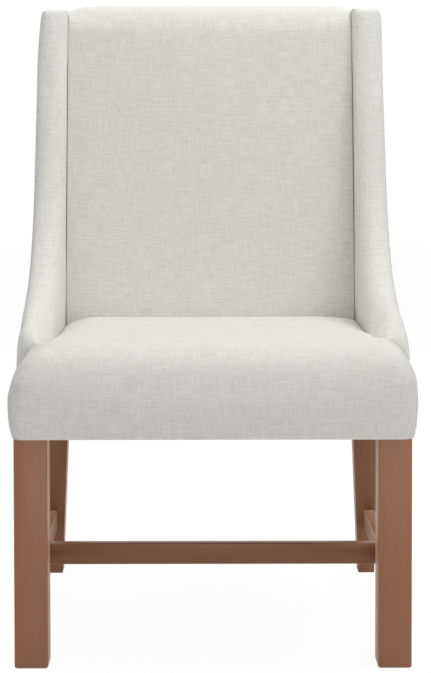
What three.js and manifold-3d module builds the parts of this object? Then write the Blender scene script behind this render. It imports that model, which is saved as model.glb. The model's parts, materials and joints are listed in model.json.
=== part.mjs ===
// Upholstered dining chair with sloping wings, in millimetres.
// x runs to the viewer's right, y runs from the front to the back, z is up, and z = 0 is the floor.
// While it is built, y = 0 is the front face of the front legs. The last lines centre the footprint.
import * as THREE from "three";
import { mergeVertices } from "three/addons/utils/BufferGeometryUtils.js";
import Module from "manifold-3d";

const wasm = await Module();
wasm.setup();

// Driving dimensions of the whole chair
const legSpan = 592; // across the outer faces of the legs
const coverFoot = 343; // lower edge of the upholstery, where the bare legs start
const seatHeight = 471; // top of the seat at its rolled edge
const seatDepth = 481; // from the front leg faces to the inside back, at seat height
const backHeight = 1012; // flat top of the wings
const insideBackLean = 86; // how far the inside back leans from seat height to the top
const fit = 0.3; // clearance where two pieces seat on each other
const seatThickness = seatHeight - coverFoot;

// Front legs
const legWidth = 50;
const legEase = 2; // rounding of the leg's long edges
const footChamfer = 2.5;
const cheek = 5; // the leg is cut back by this above the cover's edge, to let the cover in

// Rear posts: a raked, tapered leg below and a leaning back post above, in one piece
const postWidth = 46;
const postFootWidth = 29;
const postDepth = 50; // front to back, at the seat
const postFootDepth = 36;
const postTopDepth = 38;
const backPadding = 49; // the inside back stands this far ahead of the posts, at the seat
const postFace = seatDepth + backPadding; // front face at the seat
const postRake = 55; // how far the post's foot stands behind the post's upper end, at the seat
const postFoot = postFace + postRake; // front face of the foot
const postLean = 56; // how far the front face leans from the rails to the post's top
const postTopDrop = 28; // top of the post, below the top of the wings

// Rails of the seat frame. What has to fit inside the seat follows its thickness.
const railShare = 0.55;
const railHeight = railShare * seatThickness;
const railThickness = 28;
const rearRailThickness = 26;
const rearRailSetback = 14; // behind the posts' front face
const tenonThickness = 10;
const tenonLength = 16;
const tenonShoulder = 8; // wood left above and below a tenon

// Stretchers
const stretcherThickness = 19;
const stretcherHeight = 35;
const stretcherTop = 118;
const stretcherInset = 2; // in from the outer faces of the legs
const stretcherEase = 1.5;
const crossShare = 0.6362; // place of the cross stretcher, of the seat's depth
const crossStretcherFace = crossShare * seatDepth; // front face of the cross stretcher
const stubLength = 11; // stub tenon of the cross stretcher

// Corner blocks and their bolts
const blockReach = 92; // along each rail, from the rails' corner
const blockShare = 0.64; // of the rails' height
const blockHeight = blockShare * railHeight;
const blockNose = 12; // width of the blunt ends
const boltShank = 7;
const boltHead = 15;
const boltHeadHeight = 5;
const boltGrip = 30; // how far the bolt goes into the leg
const washerWidth = 22;
const washerThickness = 2;

// Rails of the back, which lie flush with the posts' leaning front faces
const backRailThickness = 24;
const topRailHeight = 60;
const lumbarRailHeight = 50;
const lumbarClear = 6.7; // lower edge of the lumbar rail, above the seat's rolled edge

// Webbing
const strapWidth = 50;
const strapThickness = 1.6;
const strapsAcross = 4; // side to side in the seat
const strapsAlong = 4; // front to back in the seat
const backStrapsUp = 3;
const backStrapsAcross = 3;
const strapBearing = 22; // how far a strap lies on a rail
const rampLength = 12; // where a strap changes from under to over
const anchorInset = 14; // a front to back strap starts this far behind the front rail's face

// Covers
const skin = 2;
const seamTurn = 18; // how far the seat cover turns under the rails
const dustClothThickness = 1;
const dustClothInset = 10; // in from the outer faces of the rails

// Seat
const seatProud = 8; // the seat's front swells this far ahead of the legs
const seatSwell = 11.5; // its sides swell this far beyond the legs
const seatCrown = 6;
const seatFrontSwell = 4; // crown of the front face
const earDepth = 118; // the front of the seat runs full width for this far
const rollShare = 0.4; // radius of the rolled front and side edges, of the seat's thickness
const tuckShare = 0.265; // height over which the front tucks back to the legs
const neckShare = 0.2; // radius of the edges between the wings
const rearShare = 0.17; // radius of the edge at the inside back
const footShare = 0.3; // the padding stops this far above the cover's edge
const seatRoll = rollShare * seatThickness;
const seatTuckRise = tuckShare * seatThickness;
const neckRoll = neckShare * seatThickness;
const seatRearRoll = rearShare * seatThickness;
const paddingFoot = footShare * seatThickness;
const paddingEase = 0.9; // the padding's clearance inside the seat cover

// Wings
const wingProud = 8; // outer face of the wing, beyond the legs
const wingWidth = 51.4;
const wingEdge = 9; // rounding of the wing's edges
const wingTopAhead = 15; // the wing's top corner stands this far ahead of the inside back
const wingTopSetback = seatDepth + insideBackLean - wingTopAhead - earDepth; // from the wing's toe
const toeRise = 13; // the toe stands this far above the seat's rolled edge
const toeRound = 14;
const boardThickness = 15;
const boardInset = 18; // padding in front of the board's edge
const wrapWidth = 24; // width of the band that the wing's cover shows on the outer face
const padEdge = 4;

// Back
const creaseGap = 0.6; // between the inside back and each wing
const backCrown = 9;
const backTopCrown = 9;
const backTopRoll = 30;
const backRearRoll = 10;
const backSideRoll = 13;
const backFootGap = 5.2; // the inside back's foot, above the seat's webbing
const outsideBackThickness = 12;
const outsideBackEdge = 4;
const outsideBackDrop = 2; // its top edge, below the top of the wings

// Facets
const rollSteps = 5;
const crownSteps = 8;
const sweepSteps = 22;
const edgeSteps = 3;
const roundSides = 20;
const overrun = 40; // how far a cutting solid runs past what it cuts
const weldDistance = 0.0001; // points nearer than this are one point

// Places worked out from the sizes above
const legHalf = legSpan / 2;
const legAxis = legHalf - legWidth / 2;
const frameHalf = legHalf - cheek; // outer faces of rails, posts and boards under the covers
const railFoot = coverFoot + skin + fit;
const railTop = railFoot + railHeight;
const deckTop = railTop + fit + strapThickness + fit + strapThickness + fit;
const lumbarRailRise = seatHeight + lumbarClear - railTop;
const backFootHeight = deckTop + backFootGap;
const postInner = legHalf - postWidth;
const postRear = postFace + postDepth;
const postTop = backHeight - postTopDrop;
const postRearTop = postFace + postLean + postTopDepth;
const sideRailInner = frameHalf - railThickness;
const boardInner = frameHalf - boardThickness;
const wingOuter = legHalf + wingProud;
const wingInner = wingOuter - wingWidth;
const seatHalf = legHalf + seatSwell;
const neckHalf = wingInner - creaseGap;
const backHalf = wingInner - creaseGap;
const toeHeight = seatHeight + toeRise;
const wingToe = earDepth + fit;
const lean = Math.atan2(postLean, postTop - railTop); // angle of the posts' front faces
const rearSlope = (postRearTop - postRear) / (postTop - railTop);
const rearFace = (z) => postRear + rearSlope * Math.max(0, z - railTop);
const innerSlope = insideBackLean / (backHeight - seatHeight);
const insideBackFace = (z) => seatDepth + innerSlope * Math.max(0, z - seatHeight);

// Materials
const finish = (color, roughness, metalness = 0) =>
  new THREE.MeshStandardMaterial({ color, roughness, metalness });
const linen = finish(0xe0deda, 0.95);
const walnut = finish(0x8f6248, 0.35);
const hardwood = finish(0xc9a878, 0.7);
const plywood = finish(0xcdb187, 0.75);
const jute = finish(0xa88c62, 0.95);
const foam = finish(0xe9dfb9, 0.9);
const blackCloth = finish(0x242424, 0.9);
const zinc = finish(0xb4b6b8, 0.4, 0.9);

// Groups: one for pieces on the middle line, and one for each side, the left being the mirror of the right
const chair = new THREE.Group();
const built = new THREE.Group();
const rightSide = new THREE.Group();
const leftSide = new THREE.Group();
leftSide.scale.x = -1;
chair.add(built);
built.add(rightSide, leftSide);

function add(name, geometry, material, parent = built) {
  const mesh = new THREE.Mesh(geometry, material);
  mesh.name = name;
  parent.add(mesh);
  return mesh;
}

function pair(name, geometry, material) {
  add(name + "_right", geometry, material, rightSide);
  add(name + "_left", geometry, material, leftSide);
}

// Booleans
function solid(geometry) {
  const bare = new THREE.BufferGeometry();
  bare.setAttribute("position", geometry.getAttribute("position"));
  if (geometry.index) {
    bare.setIndex(geometry.index);
  }
  const merged = mergeVertices(bare, weldDistance);
  const mesh = new wasm.Mesh({
    numProp: 3,
    vertProperties: merged.attributes.position.array,
    triVerts: new Uint32Array(merged.index.array),
  });
  return new wasm.Manifold(mesh);
}

function geometryOf(made) {
  const mesh = made.getMesh();
  const geometry = new THREE.BufferGeometry();
  geometry.setAttribute("position", new THREE.BufferAttribute(mesh.vertProperties, mesh.numProp));
  geometry.setIndex(new THREE.BufferAttribute(mesh.triVerts, 1));
  return geometry;
}

function cut(body, ...tools) {
  const left = tools.reduce((rest, tool) => rest.subtract(solid(tool)), solid(body));
  return geometryOf(left);
}

function join(...bodies) {
  const whole = bodies.map(solid).reduce((sum, body) => sum.add(body));
  return geometryOf(whole);
}

function overlap(a, b) {
  return geometryOf(solid(a).intersect(solid(b)));
}

// A rectangular block between two corners
function block([x0, x1], [y0, y1], [z0, z1]) {
  const geometry = new THREE.BoxGeometry(x1 - x0, y1 - y0, z1 - z0);
  return geometry.translate((x0 + x1) / 2, (y0 + y1) / 2, (z0 + z1) / 2);
}

const axisX = new THREE.Vector3(1, 0, 0);
const axisY = new THREE.Vector3(0, 1, 0);
const axisZ = new THREE.Vector3(0, 0, 1);
const shapeOf = (points) => new THREE.Shape(points.map(([a, b]) => new THREE.Vector2(a, b)));

// An outline drawn in one view, extruded square to it. A bevel rounds both ends, and an inset shrinks
// the whole prism.
function prism(points, length, bevel = 0, inset = 0) {
  return new THREE.ExtrudeGeometry(shapeOf(points), {
    depth: length - 2 * bevel,
    bevelEnabled: bevel > 0,
    bevelThickness: bevel - inset,
    bevelSize: bevel - inset,
    bevelOffset: -bevel,
    bevelSegments: edgeSteps,
    curveSegments: edgeSteps,
  }).translate(0, 0, bevel);
}

// Side view outline in (y, z), from x0 to x1
function acrossX(points, [x0, x1], bevel, inset) {
  const turn = new THREE.Matrix4().makeBasis(axisY, axisZ, axisX).setPosition(x0, 0, 0);
  return prism(points, x1 - x0, bevel, inset).applyMatrix4(turn);
}

// Front view outline in (x, z), from y0 to y1
function alongY(points, [y0, y1], bevel) {
  const back = axisY.clone().negate();
  const turn = new THREE.Matrix4().makeBasis(axisX, axisZ, back).setPosition(0, y1, 0);
  return prism(points, y1 - y0, bevel).applyMatrix4(turn);
}

// Plan outline in (x, y), from z0 to z1
function upZ(points, [z0, z1], bevel) {
  return prism(points, z1 - z0, bevel).translate(0, 0, z0);
}

// A rectangle with rounded corners, as points
function easedRectangle([a0, a1], [b0, b1], ease) {
  const corners = [
    [a1 - ease, b0 + ease, -1],
    [a1 - ease, b1 - ease, 0],
    [a0 + ease, b1 - ease, 1],
    [a0 + ease, b0 + ease, 2],
  ];
  return corners.flatMap(([a, b, quarter]) =>
    Array.from({ length: edgeSteps }, (_, step) => {
      const angle = (quarter + step / (edgeSteps - 1)) * (Math.PI / 2);
      return [a + ease * Math.cos(angle), b + ease * Math.sin(angle)];
    }),
  );
}

// A closed solid through rings of equal length, each end closed to its own middle point
function loft(rings, firstTip, lastTip) {
  const count = rings[0].length;
  const points = [...rings.flat(), firstTip, lastTip];
  const first = points.length - 2;
  const last = points.length - 1;
  const faces = [];
  for (let k = 0; k < count; k++) {
    const next = (k + 1) % count;
    for (let r = 0; r + 1 < rings.length; r++) {
      const low = r * count;
      const high = low + count;
      faces.push(low + k, low + next, high + next);
      faces.push(low + k, high + next, high + k);
    }
    const end = (rings.length - 1) * count;
    faces.push(first, next, k);
    faces.push(last, end + k, end + next);
  }
  const geometry = new THREE.BufferGeometry();
  geometry.setAttribute("position", new THREE.Float32BufferAttribute(points.flat(), 3));
  geometry.setIndex(faces);
  return geometry;
}

const quarterTurn = (step) => ((Math.PI / 2) * step) / rollSteps;
const rollRange = Array.from({ length: rollSteps + 1 }, (_, step) => quarterTurn(step));

// Joints shared by rails and stretchers: a tenon and the pocket that takes it, looser by the fit
function tenonAlong(axis, [a0, a1], middle, [z0, z1], slack = 0) {
  const half = tenonThickness / 2 + slack;
  const reach = [a0 - slack, a1 + slack];
  const height = [z0 + tenonShoulder - slack, z1 - tenonShoulder + slack];
  const across = [middle - half, middle + half];
  return axis === "x" ? block(reach, across, height) : block(across, reach, height);
}

const railBand = [railFoot, railTop];
const stretcherBand = [stretcherTop - stretcherHeight, stretcherTop];
const stretcherOuter = legHalf - stretcherInset;
const stretcherInner = stretcherOuter - stretcherThickness;
const stretcherMiddle = (stretcherOuter + stretcherInner) / 2;
const sideRailMiddle = (frameHalf + sideRailInner) / 2;
const frontRailFace = cheek;
const frontRailMiddle = frontRailFace + railThickness / 2;
const rearRailFace = postFace + rearRailSetback;
const rearRailMiddle = rearRailFace + rearRailThickness / 2;
const postFaceAt = (z) => postFoot + (postFace - postFoot) * Math.min(1, z / coverFoot);
const stretcherEnd = postFaceAt(stretcherTop - stretcherHeight / 2);
const legInner = legHalf - legWidth;

// Tenons, as [axis, span, middle, band]; the same list cuts the pockets
const frontRailTenon = ["x", [legInner, legInner + tenonLength], frontRailMiddle, railBand];
const sideRailFrontTenon = ["y", [legWidth - tenonLength, legWidth], sideRailMiddle, railBand];
const sideRailRearTenon = ["y", [postFace, postFace + tenonLength], sideRailMiddle, railBand];
const rearRailTenon = ["x", [postInner, postInner + tenonLength], rearRailMiddle, railBand];
const stretcherFrontTenon = ["y", [legWidth - tenonLength, legWidth], stretcherMiddle, stretcherBand];
const stretcherRearSpan = [stretcherEnd, stretcherEnd + tenonLength];
const stretcherRearTenon = ["y", stretcherRearSpan, stretcherMiddle, stretcherBand];
const crossMiddle = crossStretcherFace + stretcherThickness / 2;
const crossTenon = ["x", [stretcherInner, stretcherInner + stubLength], crossMiddle, stretcherBand];
const tenon = (spec) => tenonAlong(...spec);
// Pocket for a tenon that comes from the low side of its axis, and for one that comes from the high side
const pocket = ([axis, [a0, a1], middle, band]) => tenonAlong(axis, [a0 - overrun, a1], middle, band, fit);
const pocketFromRear = ([axis, [a0, a1], middle, band]) =>
  tenonAlong(axis, [a0, a1 + overrun], middle, band, fit);

// Bolts that pull each corner block to its leg, on the corner's diagonal
const diagonal = Math.SQRT1_2;
const boltHeight = railFoot + blockHeight / 2 + fit;

function boltParts(cornerX, cornerY, towardBack, seat) {
  // The bolt lies on the line through the corner at 45 degrees, and its head sits at seat from the corner
  const place = new THREE.Matrix4().makeBasis(
    new THREE.Vector3(-diagonal, towardBack * diagonal, 0),
    axisZ,
    new THREE.Vector3(towardBack * diagonal, diagonal, 0),
  );
  place.setPosition(cornerX, cornerY, boltHeight);
  const profile = (points) => points.map(([radius, along]) => new THREE.Vector2(radius, along));
  const turned = (points) => new THREE.LatheGeometry(profile(points), roundSides);
  const aim = new THREE.Matrix4().makeRotationZ(-Math.PI / 2);
  const put = (points) => turned(points).applyMatrix4(aim).applyMatrix4(place);
  const headFoot = seat + washerThickness + fit;
  return {
    bolt: put([
      [0, -boltGrip],
      [boltShank / 2, -boltGrip],
      [boltShank / 2, headFoot],
      [boltHead / 2, headFoot],
      [boltHead / 2, headFoot + boltHeadHeight],
      [0, headFoot + boltHeadHeight],
    ]),
    bore: put([
      [0, -boltGrip - fit],
      [boltShank / 2 + fit, -boltGrip - fit],
      [boltShank / 2 + fit, headFoot + overrun],
      [0, headFoot + overrun],
    ]),
    washer: put([
      [boltShank / 2 + fit, seat],
      [washerWidth / 2, seat],
      [washerWidth / 2, seat + washerThickness],
      [boltShank / 2 + fit, seat + washerThickness],
      [boltShank / 2 + fit, seat],
    ]),
  };
}

// A block fills the corner between two rails: a triangle with blunt ends, notched round the leg
function blockOutline(cornerX, cornerY, towardBack) {
  const reach = (along) => cornerY + towardBack * along;
  return [
    [cornerX, reach(0)],
    [cornerX, reach(blockReach)],
    [cornerX - blockNose, reach(blockReach)],
    [cornerX - blockReach, reach(blockNose)],
    [cornerX - blockReach, reach(0)],
  ];
}

// The same outline, running anticlockwise
function ordered(points) {
  const clockwise = THREE.ShapeUtils.isClockWise(shapeOf(points).getPoints());
  return clockwise ? [...points].reverse() : points;
}

const blockBand = [railFoot + fit, railFoot + fit + blockHeight];
const innerX = sideRailInner - fit;
const frontCorner = [innerX, frontRailFace + railThickness + fit, 1];
const rearCorner = [innerX, rearRailFace - fit, -1];
// Distance from the corner to the block's long face, on the diagonal
const faceDistance = (blockReach + blockNose) * diagonal;
const frontBolt = boltParts(...frontCorner, faceDistance + fit);
const rearBolt = boltParts(...rearCorner, faceDistance + fit);

// Front legs: square, chamfered at the floor, and cut back above the cover's edge
function footRing(inward, z) {
  const acrossLeg = [legInner + inward, legHalf - inward];
  const outline = easedRectangle(acrossLeg, [inward, legWidth - inward], legEase);
  return outline.map(([x, y]) => [x, y, z]);
}
const legBlank = loft(
  [footRing(footChamfer, 0), footRing(0, footChamfer), footRing(0, railTop)],
  [legAxis, legWidth / 2, 0],
  [legAxis, legWidth / 2, railTop],
);
const cheekBand = [coverFoot, railTop + overrun];
const frontLeg = cut(
  legBlank,
  block([frameHalf, legHalf + overrun], [-overrun, legWidth + overrun], cheekBand),
  block([legInner - overrun, legHalf + overrun], [-overrun, cheek], cheekBand),
  pocket(frontRailTenon),
  pocketFromRear(sideRailFrontTenon),
  pocketFromRear(stretcherFrontTenon),
  frontBolt.bore,
);
pair("front_leg", frontLeg, walnut);

// Rear posts: the side view carries the rake and the lean, the front view carries the taper
const postSide = acrossX(
  [
    [postFoot, 0],
    [postFoot + postFootDepth, 0],
    [postRear, coverFoot],
    [postRear, railTop],
    [postRearTop, postTop],
    [postFace + postLean, postTop],
    [postFace, railTop],
    [postFace, coverFoot],
  ],
  [postInner - overrun, legHalf + overrun],
);
const postFront = alongY(
  [
    [legHalf - postFootWidth, 0],
    [legHalf, 0],
    [legHalf, coverFoot],
    [frameHalf, coverFoot],
    [frameHalf, postTop],
    [postInner, postTop],
    [postInner, coverFoot],
  ],
  [postFace - overrun, postRearTop + overrun],
);

// Frame of the back: everything in this group lies in the posts' leaning front plane.
// Its y is square to that plane, its z runs up along it from the top of the seat rails.
const leanMatrix = new THREE.Matrix4().makeRotationX(-lean).setPosition(0, postFace, railTop);
const leanIn = (geometry) => geometry.clone().applyMatrix4(leanMatrix);
const leanLength = (postTop - railTop) / Math.cos(lean);
const backGroup = new THREE.Group();
backGroup.applyMatrix4(leanMatrix);
built.add(backGroup);
const backRailBand = [fit, fit + backRailThickness];
const backRailMiddle = (backRailBand[0] + backRailBand[1]) / 2;
const topRailBand = [leanLength - topRailHeight - fit, leanLength - fit];
const lumbarRailBand = [lumbarRailRise, lumbarRailRise + lumbarRailHeight];
const topRailTenon = ["x", [postInner, postInner + tenonLength], backRailMiddle, topRailBand];
const lumbarRailTenon = ["x", [postInner, postInner + tenonLength], backRailMiddle, lumbarRailBand];
const rearPost = cut(
  overlap(postSide, postFront),
  pocket(rearRailTenon),
  pocket(sideRailRearTenon),
  pocket(stretcherRearTenon),
  leanIn(pocket(topRailTenon)),
  leanIn(pocket(lumbarRailTenon)),
  rearBolt.bore,
);
pair("rear_post", rearPost, walnut);

// A rail from side to side, with a tenon at each end
const mirrored = ([axis, [a0, a1], middle, band]) => [axis, [-a1, -a0], middle, band];
function crossRail(half, depths, band, spec, ease) {
  const bar = ease
    ? acrossX(easedRectangle(depths, band, ease), [fit - half, half - fit])
    : block([fit - half, half - fit], depths, band);
  const [axis, [a0, a1], middle, height] = spec;
  const long = [axis, [a0 - overrun, a1], middle, height];
  return join(bar, tenon(long), tenon(mirrored(long)));
}

const frontRailDepths = [frontRailFace, frontRailFace + railThickness];
const rearRailDepths = [rearRailFace, rearRailFace + rearRailThickness];
add("front_rail", crossRail(legInner, frontRailDepths, railBand, frontRailTenon), hardwood);
add("rear_rail", crossRail(postInner, rearRailDepths, railBand, rearRailTenon), hardwood);
const topRail = crossRail(postInner, backRailBand, topRailBand, topRailTenon);
add("top_rail", topRail, hardwood, backGroup);
const lumbarRail = crossRail(postInner, backRailBand, lumbarRailBand, lumbarRailTenon);
add("lumbar_rail", lumbarRail, hardwood, backGroup);

// Side rails, from the front leg to the rear post
const sideRailBar = block([sideRailInner, frameHalf], [legWidth + fit, postFace - fit], railBand);
const sideRail = join(
  sideRailBar,
  tenonAlong("y", [legWidth - tenonLength, legWidth + overrun], sideRailMiddle, railBand),
  tenonAlong("y", [postFace - overrun, postFace + tenonLength], sideRailMiddle, railBand),
);
pair("side_rail", sideRail, hardwood);

// Stretchers: the side ones meet the raked rear legs at an angle, the cross one stubs into them
const sideBar = alongY(
  easedRectangle([stretcherInner, stretcherOuter], stretcherBand, stretcherEase),
  [legWidth + fit, postFoot + overrun],
);
const rakeCut = acrossX(
  [
    [postFoot - fit, -overrun],
    [postFoot + 2 * overrun, -overrun],
    [postFoot + 2 * overrun, coverFoot],
    [postFace - fit, coverFoot],
    [postFoot - fit, 0],
  ],
  [stretcherInner - overrun, stretcherOuter + overrun],
);
const sideStretcher = cut(
  join(
    cut(sideBar, rakeCut),
    tenonAlong("y", [legWidth - tenonLength, legWidth + overrun], stretcherMiddle, stretcherBand),
    tenonAlong("y", [stretcherEnd - overrun, stretcherEnd + tenonLength], stretcherMiddle, stretcherBand),
  ),
  pocket(crossTenon),
);
pair("side_stretcher", sideStretcher, walnut);
const crossDepths = [crossStretcherFace, crossStretcherFace + stretcherThickness];
const crossStretcher = crossRail(stretcherInner, crossDepths, stretcherBand, crossTenon, stretcherEase);
add("cross_stretcher", crossStretcher, walnut);

// Corner blocks, bolts and washers
const legNotch = block([legInner - fit, legHalf], [0, legWidth + fit], [0, railTop]);
const postNotch = block([postInner - fit, legHalf], [postFace - fit, postRear], [0, railTop]);
const frontBlock = upZ(ordered(blockOutline(...frontCorner)), blockBand);
const rearBlock = upZ(ordered(blockOutline(...rearCorner)), blockBand);
pair("front_corner_block", cut(frontBlock, legNotch, frontBolt.bore), hardwood);
pair("rear_corner_block", cut(rearBlock, postNotch, rearBolt.bore), hardwood);
pair("front_corner_bolt", frontBolt.bolt, zinc);
pair("rear_corner_bolt", rearBolt.bolt, zinc);
pair("front_corner_washer", frontBolt.washer, zinc);
pair("rear_corner_washer", rearBolt.washer, zinc);

// Woven webbing. A strap is a ribbon that runs low under one crossing and high over the next.
const low = fit;
const high = low + strapThickness + fit;
const spread = (count, [start, end]) =>
  Array.from({ length: count }, (_, k) => start + ((end - start) * (2 * k + 1)) / (2 * count));

function ribbon([start, end], crossings, firstHigh) {
  const half = strapWidth / 2;
  const level = [[start, low]];
  crossings.forEach((at, k) => {
    const over = firstHigh === (k % 2 === 0);
    if (over) {
      level.push([at - half - rampLength, low]);
      level.push([at - half, high]);
      level.push([at + half, high]);
      level.push([at + half + rampLength, low]);
    }
  });
  level.push([end, low]);
  const upper = level.map(([along, height]) => [along, height + strapThickness]);
  return [...level, ...upper.reverse()];
}

const seatDeckX = [-boardInner + fit, boardInner - fit];
const seatDeckY = [anchorInset, rearRailFace + strapBearing];
const openX = [-sideRailInner, sideRailInner];
const openY = [legWidth, rearRailFace];
const alongPlaces = spread(strapsAlong, openX);
const acrossPlaces = spread(strapsAcross, openY);
const strapBand = (at) => [at - strapWidth / 2, at + strapWidth / 2];
alongPlaces.forEach((x, k) => {
  const outline = ribbon(seatDeckY, acrossPlaces, k % 2 === 0);
  const strap = acrossX(outline, strapBand(x)).translate(0, 0, railTop);
  add("seat_strap_along_" + (k + 1), strap, jute);
});
acrossPlaces.forEach((y, k) => {
  const outline = ribbon(seatDeckX, alongPlaces, k % 2 === 1);
  const strap = alongY(ordered(outline), strapBand(y)).translate(0, 0, railTop);
  add("seat_strap_across_" + (k + 1), strap, jute);
});

// The back's straps are tacked to the front faces of its rails and posts
const backOpenX = [-postInner, postInner];
const backOpenUp = [lumbarRailBand[1], topRailBand[0]];
const upSpan = [lumbarRailBand[0] + strapBearing, topRailBand[1] - strapBearing];
const backSpanX = [-postInner - strapBearing, postInner + strapBearing];
const upPlaces = spread(backStrapsUp, backOpenX);
const backAcrossPlaces = spread(backStrapsAcross, backOpenUp);
upPlaces.forEach((x, k) => {
  const outline = ribbon(upSpan, backAcrossPlaces, k % 2 === 0).map(([up, out]) => [-out, up]);
  const strap = acrossX(ordered(outline), strapBand(x));
  add("back_strap_up_" + (k + 1), strap, jute, backGroup);
});
backAcrossPlaces.forEach((up, k) => {
  const outline = ribbon(backSpanX, upPlaces, k % 2 === 1).map(([x, out]) => [x, -out]);
  const strap = upZ(ordered(outline), strapBand(up));
  add("back_strap_across_" + (k + 1), strap, jute, backGroup);
});

// Space that the wooden frame and the webbing take, for cutting the padding and the covers
const deckSpace = block(
  [-frameHalf - fit, frameHalf + fit],
  [frontRailFace - fit, postRear + overrun],
  [railFoot - fit, deckTop],
);
const webbingDepth = (high + strapThickness + fit) / Math.cos(lean);
const webbingFace = (z) => postFace + Math.tan(lean) * (z - railTop) - webbingDepth;
const spaceToTheTop = (top) =>
  acrossX(
    [
      [webbingFace(railTop - overrun), railTop - overrun],
      [postRearTop + overrun, railTop - overrun],
      [postRearTop + overrun, top],
      [webbingFace(top), top],
    ],
    [-frameHalf - fit, frameHalf + fit],
  );
const backSpace = spaceToTheTop(postTop + fit);
// Everything behind the posts, where the outside back lies
const behind = acrossX(
  [
    [postRear, 0],
    [postRear + backHeight, 0],
    [postRear + backHeight, backHeight + overrun],
    [rearFace(backHeight + overrun), backHeight + overrun],
    [postRear, railTop],
  ],
  [-legSpan, legSpan],
);

// Seat form: rings in front view, from the front to the back. The front runs full width with rolled
// edges, then the form steps in to a neck between the wings.
function seatRing({ y, half, foot, footHalf, top, roll, crown }, inset) {
  const flat = half - roll;
  const soft = roll - inset;
  const axis = top - roll;
  const right = [];
  right.push([0, foot]);
  right.push([footHalf / 2, foot]);
  right.push([footHalf, foot]);
  for (let step = 1; step < edgeSteps; step++) {
    const share = step / edgeSteps;
    const swell = Math.sin((share * Math.PI) / 2);
    right.push([footHalf + (half - inset - footHalf) * swell, foot + (axis - foot) * share]);
  }
  rollRange.forEach((angle) => {
    right.push([flat + soft * Math.cos(angle), axis + soft * Math.sin(angle)]);
  });
  for (let step = 1; step < crownSteps / 2; step++) {
    const share = 1 - (2 * step) / crownSteps;
    right.push([flat * share, axis + soft + crown * (1 - share * share)]);
  }
  const middle = [0, axis + soft + crown];
  const left = right.slice(1).reverse();
  const ring = [...right, middle, ...left.map(([x, z]) => [-x, z])];
  return ring.map(([x, z]) => [x, y, z]).reverse();
}

function seatForm(inset) {
  const front = -seatProud;
  const neckEnd = seatDepth - fit;
  const wide = { half: seatHalf, footHalf: legHalf - inset, roll: seatRoll };
  const narrow = {
    half: neckHalf,
    footHalf: neckHalf - inset,
    roll: neckRoll,
    foot: deckTop + inset,
    top: seatHeight,
  };
  const rings = [];
  rollRange.forEach((angle) => {
    const y = front + seatRoll - (seatRoll - inset) * Math.cos(angle);
    const tuck = Math.max(0, 1 - (seatRoll * (1 - Math.cos(angle))) / seatProud) ** 2;
    const foot = coverFoot + inset + seatTuckRise * tuck;
    const top = seatHeight - seatRoll * (1 - Math.sin(angle)) - inset * (Math.sin(angle) - 1);
    const half = seatHalf - (seatSwell / 2) * (1 - Math.sin(angle));
    rings.push(seatRing({ ...wide, half, y, foot, top, crown: seatCrown * Math.sin(angle) ** 2 }, inset));
  });
  const full = { ...wide, foot: coverFoot + inset, top: seatHeight, crown: seatCrown };
  rings.push(seatRing({ ...full, y: (seatRoll - seatProud + earDepth) / 2 }, inset));
  rings.push(seatRing({ ...full, y: earDepth - inset }, inset));
  rings.push(seatRing({ ...narrow, y: earDepth - inset, crown: seatCrown }, inset));
  const neckStart = earDepth;
  const neckLong = neckEnd - seatRearRoll - neckStart;
  for (let step = 1; step < rollSteps; step++) {
    const y = neckStart + (neckLong * step) / rollSteps;
    rings.push(seatRing({ ...narrow, y, crown: seatCrown }, inset));
  }
  rollRange.forEach((angle) => {
    const y = neckEnd - seatRearRoll + (seatRearRoll - inset) * Math.sin(angle);
    const top = seatHeight - (seatRearRoll - inset) * (1 - Math.cos(angle));
    rings.push(seatRing({ ...narrow, y, top, crown: seatCrown }, inset));
  });
  const frontMiddle = coverFoot + seatTuckRise + (seatHeight - seatRoll - coverFoot - seatTuckRise) / 2;
  const rearMiddle = (deckTop + seatHeight - seatRearRoll) / 2;
  return loft(rings, [0, front - seatFrontSwell + inset, frontMiddle], [0, neckEnd - inset, rearMiddle]);
}

// Seat padding: one foam body that lies on the webbing and comes down in front of the rails
const belowPadding = block(
  [-seatHalf, seatHalf],
  [-overrun - seatProud, postRear],
  [0, coverFoot + paddingFoot],
);
const seatFoam = cut(seatForm(skin + paddingEase), deckSpace, belowPadding);
add("seat_foam", seatFoam, foam);

// Seat cover: a shell, open below, that turns under the rails and lets the legs through
const turnedIn = frameHalf - seamTurn;
const coverMouth = block(
  [-turnedIn, turnedIn],
  [frontRailFace + seamTurn, seatDepth],
  [coverFoot - overrun, railFoot],
);
const neckMouth = block(
  [-(neckHalf - skin), neckHalf - skin],
  [earDepth - skin, seatDepth - skin - fit],
  [railFoot, deckTop + skin + fit],
);
const sides = [1, -1];
const sideSpan = (side, near, far) => [side * near, side * far].sort((a, b) => a - b);
const bothLegs = sides.map((side) =>
  block(sideSpan(side, legInner - fit, legHalf + overrun), [0, legWidth + fit], [0, coverFoot + skin]),
);
const seatCover = cut(seatForm(0), seatForm(skin), deckSpace, coverMouth, neckMouth, ...bothLegs);
add("seat_cover", seatCover, linen);

// Wing outline in side view, as [y, z]. The front edge sweeps up from the toe in a long slope, then
// turns and leans back with the post. Shares are of the run and the rise of the whole sweep.
const sweepShares = [
  [0, 0],
  [0.19, 0.044],
  [0.386, 0.101],
  [0.562, 0.186],
  [0.707, 0.33],
  [0.795, 0.482],
  [0.858, 0.636],
  [0.925, 0.805],
  [1, 1],
];
const sweepRise = backHeight - toeHeight;
const sweep = new THREE.SplineCurve(
  sweepShares.map(
    ([run, rise]) => new THREE.Vector2(wingToe + run * wingTopSetback, toeHeight + rise * sweepRise),
  ),
);

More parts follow.
